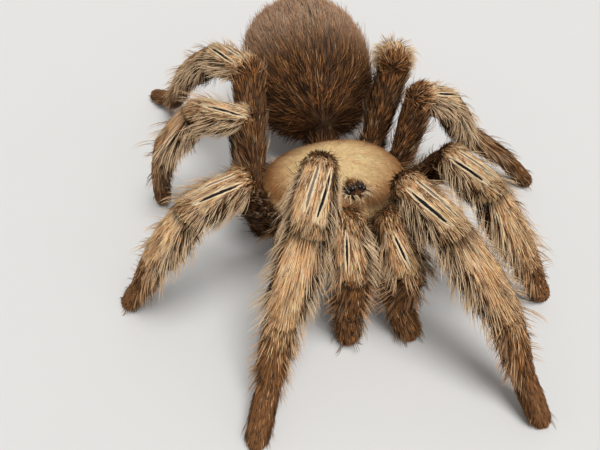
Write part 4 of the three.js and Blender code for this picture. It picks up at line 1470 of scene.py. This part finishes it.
def skin_finish(body):
    """Leathery skin, darker where the coat is dark, with the bare stripes of the patellae."""
    surface = Surface("skin")
    tone = surface.kept("tone")
    grain = surface.noise(1400.0, detail=4.0)
    blotch = surface.noise(260.0, detail=2.0)
    colour = surface.mix(tone, body.skin_dark, body.skin_pale)
    colour = surface.mix(blotch.step(0.35, 0.7) * 0.35, colour, body.skin_dark)
    around, share = surface.kept("around"), surface.kept("share")
    for kind, stripes in STRIPES.items():
        patella = surface.kept(kind)
        for line in stripes:
            first, last = line["first"], line["last"]
            off = abs(around - (share * (line["far"] - line["near"]) + line["near"]))
            across = off.step(line["half"] * 1.7, line["half"] * 1.3)
            mask = across * share.step(first - 0.04, first + 0.02)
            mask = mask * share.step(last + 0.04, last - 0.02) * patella
            # The grey stripe is a painted sheen on black skin.
            colour = surface.mix(mask, colour, body.sheen_stripe if line["is_pale"] else body.stripe)
    return surface.finish(
        base_color=colour, roughness=0.72, specular_ior_level=0.2, normal=surface.bump(grain, 0.08 * MM, 0.6))


def shell_finish(body):
    """The shield's velvet: golden, paler on top, browner in its furrows and towards its edge. The brown towards
    the edge is partly the shield's own rim and partly painted shade on the slopes that turn away from the lamp.
    """
    surface = Surface("shell")
    velvet = surface.noise(2600.0)
    patches = surface.noise(330.0)
    colour = surface.mix(surface.kept("edge"), body.shell, body.shell_edge)
    colour = surface.mix(surface.kept("furrow") * 0.35, colour, body.shell_edge)
    colour = surface.mix(surface.kept("pit"), colour, body.skin_dark)
    colour = surface.mix(surface.kept("under"), colour, body.skin_dark)
    colour = surface.mix(patches.step(0.45, 0.75) * 0.25, colour, body.shell_edge)
    colour = surface.mix(velvet.step(0.3, 0.7) * 0.3, colour, (0.72, 0.50, 0.24))
    return surface.finish(
        base_color=colour, roughness=0.62, specular_ior_level=0.3,
        normal=surface.bump(velvet, 0.10 * MM, 0.7))


def hard_finish(name, colour, roughness, gloss=0.5):
    """Smooth dark horn or cornea, with a faint grain."""
    surface = Surface(name)
    grain = surface.noise(1200.0, detail=2.0)
    tint = surface.mix(grain.step(0.4, 0.8) * 0.4, colour, (0.06, 0.035, 0.02))
    return surface.finish(
        base_color=tint, roughness=roughness + grain * 0.08, specular_ior_level=gloss,
        normal=surface.bump(grain, 0.01 * MM, 0.4))


# ---- Operators ----
class TARANTULA_OT_skin(bpy.types.Operator):
    """One skin over the limbs, the underside, the chelicerae and the abdomen"""

    bl_idname = "tarantula.skin"
    bl_label = "Skin"

    def execute(self, context):
        body = context.scene.tarantula_body
        depth = 1 - body.coat_depth
        forms = [
            self.limb_form(segment, depth, segment is segments[-1])
            for segments in LIMBS.values() for segment in segments
        ]
        ball, faces = ball_form(64, 40)
        forms.append((BELLY.at(np.arctan2(ball[:, 1], ball[:, 0]), ball[:, 2]), faces))
        ball, faces = ball_form(40, 20)
        forms += [
            (placed(ball * halves + middle), faces)
            for middle, halves in ((STERNUM_MIDDLE, STERNUM_HALVES), (CORE_MIDDLE, CORE_HALVES))
        ]
        forms.append(bar_along(waist_line(), np.full(3, WAIST_RADIUS * MM)))
        shares = np.linspace(0, 1, 12)
        radii = chelicera_radius(shares, 1 - body.coat_depth * FACE_COAT)
        for side in SIDES.values():
            places, faces = bar_along(chelicera_curve(side, shares), radii, slim=CHELICERA["slimness"])
            forms.append((placed(places), faces))
        shares = np.linspace(0, 1, 8)
        for side in SIDES:
            segment = spinneret_segment(side)
            radii = segment.radius(shares) * SPINNERET_SKIN
            forms.append(bar_along(segment.middle(shares), radii, around=14))
        mesh = united("skin", forms, body.cell, body.smoothing)
        self.mark(mesh, depth)
        skin = keep("skin", mesh, skin_finish(body))
        nodes = [limb + "_" + word for limb in LIMB_NAMES for word in LEG_KINDS]
        nodes = [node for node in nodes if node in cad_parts]
        nodes += [side + "_" + word for side in SIDES for word in ("chelicera", "spinneret")]
        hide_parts(*nodes, "underbody", "pedicel", "abdomen")
        return {"FINISHED"}

    def limb_form(self, segment, depth, is_last):
        """A segment's round bar, waisted at its joints."""
        shares = np.linspace(0, 1, 14)
        waist = 1 - 0.13 * bell(shares, 0.09)
        if not is_last:
            waist = waist * (1 - 0.10 * bell(shares, 0.07, 1))
        middles = segment.middle(shares, FOOT_BACK * MM if is_last else 0)
        places, faces = bar_along(middles, segment.radius(shares) * depth * waist, sideways=segment.side)
        places[:, 2] = np.maximum(places[:, 2], SKIN_FLOOR)
        return places, faces

    def mark(self, mesh, depth):
        """Numbers on the skin that its finish reads: tone, and places along and round the patellae."""
        places = places_of(mesh).astype(float)
        best = np.full(len(places), 9.0)
        numbers = {name: np.zeros(len(places)) for name in ("tone", "share", "around", *STRIPES)}
        numbers["tone"] += COAT_SHAPE["coxa"]["tone"]
        for segment in [each for segments in LIMBS.values() for each in segments]:
            share, around, away = segment.seen_from(places)
            nearer = (away < best) & (away < 1.25 * depth)
            best[nearer] = away[nearer]
            # Painted shade: the skin is darker in the crease at the start of each segment, and darker on a
            # limb's flanks and underside, partly of its own and partly where the coat shades it.
            crease = 0.3 * bell(share, 0.04) if segment.kind != "coxa" else 0
            tone = COAT_SHAPE[segment.kind]["tone"] * (1 - crease) * (1 - 0.8 * flank_of(around))
            own = {"tone": tone, "share": share, "around": around * segment.hand}
            for name, kept in numbers.items():
                kept[nearer] = own[name][nearer] if name in own else segment.kind == name
        for name, kept in numbers.items():
            put_numbers(mesh, name, kept)


class TARANTULA_OT_shell(bpy.types.Operator):
    """The domed shield with its furrows, the mound on it and the eight eyes"""

    bl_idname = "tarantula.shell"
    bl_label = "Shield and eyes"

    def execute(self, context):
        body = context.scene.tarantula_body
        places, faces = shield_form(160, 80, SHIELD_GROOVES)
        mesh = mesh_of("carapace_shell", placed(places), faces)
        x, y, z = places.T
        ring = np.hypot(x / SHIELD_HALVES[0], y / SHIELD_HALVES[1])
        # How brown the shell turns towards its edge: partly its own rim, partly painted shade.
        put_numbers(mesh, "edge", ramp(ring, 0.45, 0.95) ** 1.4 * 0.95)
        put_numbers(mesh, "under", np.clip((PROSOMA["height"] - z) / 0.25, 0, 1) * 0.9)
        put_numbers(mesh, "furrow", groove_depth(x, y))
        put_numbers(mesh, "pit", np.clip(2.4 * pit_mark(x, y) - 0.7, 0, 0.9))
        shell = keep("carapace_shell", mesh, shell_finish(body))
        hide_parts("carapace")
        mesh = mesh_of("eye_mound_dome", *self.mound())
        mound = keep("eye_mound_dome", mesh, hard_finish("eye_mound", body.mound, 0.7, 0.15))
        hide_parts("eye_mound")
        eyes = [self.eye(side * eye[0], *eye[1:]) for side in SIDES.values() for eye in EYES]
        keep("eyes", mesh_of("eyes", *joined(eyes)), hard_finish("eyes", body.eye, 0.06))
        return {"FINISHED"}

    def mound(self):
        """The low mound that the eyes stand on, a little uneven."""
        ball, faces = ball_form(48, 20, -0.5, -0.5)
        bumps = 1 + 0.025 * np.sin(9 * ball[:, :1] + 4 * ball[:, 1:2]) * np.sin(7 * ball[:, 1:2])
        return placed(ball * MOUND_HALVES * bumps + MOUND_MIDDLE), faces

    def eye(self, sideways, forward, radius):
        """A domed eye set in the mound, a little flattened."""
        half_width, half_length, height = MOUND_HALVES
        rise = height * math.sqrt(1 - (sideways / half_width) ** 2 - (forward / half_length) ** 2)
        lean = Vector((sideways / half_width**2, -forward / half_length**2, rise / height**2))
        turn = np.array(Vector(UP).rotation_difference(lean).to_matrix())
        ball, faces = ball_form(24, 12)
        ball = (ball * (1, 1, EYE_HEIGHT)) @ turn.T
        return placed(ball * radius + MOUND_MIDDLE + (sideways, -forward, rise)), faces


class TARANTULA_OT_fangs(bpy.types.Operator):
    """The two fangs, and a pair of small claws on each foot"""

    bl_idname = "tarantula.fangs"
    bl_label = "Fangs and claws"

    def execute(self, context):
        body = context.scene.tarantula_body
        finish = hard_finish("horn", body.horn, 0.28)
        share = np.linspace(0, 1, 18)
        for word, side in SIDES.items():
            root = chelicera_curve(side, 1.0)[0] - (0, 0, FANG["below"])
            bend = root - (0, 0, FANG["drop"])
            middles = curved(root, bend, bend + (-side * FANG["inward"], FANG["reach"], 0), share)
            radii = (FANG["radius"] - FANG["tip"]) * (1 - share**1.4) + FANG["tip"]
            places, faces = bar_along(middles, radii, around=18)
            name = word + "_fang_horn"
            fang = keep(name, mesh_of(name, placed(places), faces), finish)
            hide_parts(word + "_fang")
        claws = [self.claw(segments[-1], side) for segments in LIMBS.values() for side in SIDES.values()]
        keep("claws", mesh_of("claws", *joined(claws)), finish)
        return {"FINISHED"}

    def claw(self, foot, side):
        """A thin hook that curves down from the end of a foot."""
        share = np.linspace(0, 1, 9)
        ahead = share * CLAW["reach"] - CLAW["back"]
        aside = share * CLAW["spread"] + CLAW["apart"]
        above = CLAW["above"] - share**2 * CLAW["drop"]
        grid = np.array([foot.axis, foot.side * side, foot.upper]) * MM
        middles = foot.start + foot.axis * foot.length + np.stack([ahead, aside, above], axis=1) @ grid
        radii = ((CLAW["radius"] - CLAW_TIP) * (1 - share) + CLAW_TIP) * MM
        places, faces = bar_along(middles, radii, around=10)
        places[:, 2] = np.maximum(places[:, 2], CLAW_FLOOR)
        return inside_room(places), faces


class TARANTULA_OT_limb_coats(bpy.types.Operator):
    """A coat of hair on each leg and palp"""

    bl_idname = "tarantula.limb_coats"
    bl_label = "Coats of the limbs"

    def execute(self, context):
        settings = context.scene.tarantula_coat
        finish = coat_finish("limb_hair")
        for number, name in enumerate(LIMB_NAMES):
            coat = Coat(context.scene, np.random.default_rng(SEED + number))
            hairs = settings.palp_hairs if name.endswith("palp") else settings.leg_hairs
            limb_coat(coat, name, hairs)
            keep(name + "_coat", coat.mesh(name + "_coat"), finish)
        return {"FINISHED"}


class TARANTULA_OT_body_coats(bpy.types.Operator):
    """The coats of the shield, the abdomen, the chelicerae and the underside"""

    bl_idname = "tarantula.body_coats"
    bl_label = "Coats of the body"

    def execute(self, context):
        finish = coat_finish("body_hair")
        rng = np.random.default_rng(BODY_SEED)
        for name, slot, grow in (
            ("carapace_coat", "carapace_coat", shield_coat),
            ("abdomen_coat", "abdomen_coat", belly_coat),
            ("chelicerae_coat", "body_coat", face_coat),
            ("underside_coat", "body_coat", under_coat),
        ):
            coat = Coat(context.scene, rng)
            grow(coat)
            keep(name, coat.mesh(name), finish)
        return {"FINISHED"}


class TARANTULA_OT_stage(bpy.types.Operator):
    """A pale floor, soft lamps, even light from all round and the camera"""

    bl_idname = "tarantula.stage"
    bl_label = "Stage"

    def execute(self, context):
        scene, stage = context.scene, context.scene.tarantula_stage
        self.floor(scene, stage)
        self.lamp("key_lamp", stage.key_strength, 30, Vector((0.14, -0.32, 1.0)))
        self.lamp("fill_lamp", stage.fill_strength, 60, Vector((0.5, -1.0, 0.7)))
        scene.world = bpy.data.worlds.new("studio")
        self.backdrop(Nodes(scene.world), stage)
        scene.view_settings.view_transform = "Standard"
        camera = bpy.data.objects.new("camera", bpy.data.cameras.new("camera"))
        scene.collection.objects.link(camera)
        camera.location = stage.camera_place
        camera.rotation_euler = stage.camera_turn
        camera.data.sensor_width = 36
        camera.data.lens = stage.lens
        camera.data.clip_start = 0.001
        camera.data.clip_end = 3 * FLOOR_RADIUS
        scene.camera = camera
        return {"FINISHED"}

    def floor(self, scene, stage):
        """A broad round floor."""
        turns = np.arange(96) * FULL_TURN / 96
        places = np.stack([np.cos(turns), np.sin(turns), np.zeros(96)], axis=1) * FLOOR_RADIUS
        faces = [list(range(96))]
        surface = Surface("floor")
        speck = surface.noise(60.0, detail=3.0)
        colour = surface.mix(speck.step(0.3, 0.7) * 0.06, stage.floor, (0.70, 0.69, 0.67))
        finish = surface.finish(base_color=colour, roughness=0.9)
        floor = bpy.data.objects.new("floor", mesh_of("floor", places, faces))
        floor.data.materials.append(finish)
        scene.collection.objects.link(floor)

    def backdrop(self, nodes, stage):
        """Even light on the spider, and a pale backdrop for the camera, for gloss and for glass."""
        seen = 0.0
        for ray in ("Is Camera Ray", "Is Glossy Ray", "Is Transmission Ray"):
            kind = nodes.add("ShaderNodeLightPath", out=ray)
            seen = nodes.add("ShaderNodeMath", {"operation": "MAXIMUM"}, {0: seen, 1: kind})
        strength = seen * (stage.backdrop - stage.world_strength) + stage.world_strength
        light = nodes.add("ShaderNodeBackground", {}, {"Color": (1, 1, 1, 1), "Strength": strength})
        nodes.add("ShaderNodeOutputWorld", {}, {"Surface": light})

    def lamp(self, name, strength, spread, towards):
        """A soft lamp far off in a direction, as broad as its spread in degrees."""
        light = bpy.data.lights.new(name, "SUN")
        light.energy = strength
        light.angle = spread * DEGREE
        lamp = bpy.data.objects.new(name, light)
        lamp.location = towards * 0.3
        lamp.rotation_euler = towards.to_track_quat("Z", "Y").to_euler()
        bpy.context.scene.collection.objects.link(lamp)


OPERATORS = (
    TARANTULA_OT_stage,
    TARANTULA_OT_skin,
    TARANTULA_OT_shell,
    TARANTULA_OT_fangs,
    TARANTULA_OT_limb_coats,
    TARANTULA_OT_body_coats,
)


class TARANTULA_PT_panel(bpy.types.Panel):
    """The buttons, in the order in which the model is built"""

    bl_idname = "TARANTULA_PT_panel"
    bl_label = "Tarantula"
    bl_space_type = "VIEW_3D"
    bl_region_type = "UI"
    bl_category = "Tarantula"

    def draw(self, context):
        for operator in OPERATORS:
            self.layout.operator(operator.bl_idname)
        scene = context.scene
        for settings in (scene.tarantula_body, scene.tarantula_coat, scene.tarantula_stage):
            box = self.layout.box()
            for name in settings.__annotations__:
                box.prop(settings, name)


CLASSES = (BodySettings, CoatSettings, StageSettings, *OPERATORS, TARANTULA_PT_panel)


def register():
    for each in CLASSES:
        bpy.utils.register_class(each)
    bpy.types.Scene.tarantula_body = PointerProperty(type=BodySettings)
    bpy.types.Scene.tarantula_coat = PointerProperty(type=CoatSettings)
    bpy.types.Scene.tarantula_stage = PointerProperty(type=StageSettings)


def unregister():
    del bpy.types.Scene.tarantula_stage
    del bpy.types.Scene.tarantula_coat
    del bpy.types.Scene.tarantula_body
    for each in reversed(CLASSES):
        bpy.utils.unregister_class(each)


def main():
    register()
    bpy.ops.tarantula.stage()
    bpy.ops.tarantula.skin()
    bpy.ops.tarantula.shell()
    bpy.ops.tarantula.fangs()
    bpy.ops.tarantula.limb_coats()
    bpy.ops.tarantula.body_coats()


if __name__ == "__main__":
    main()
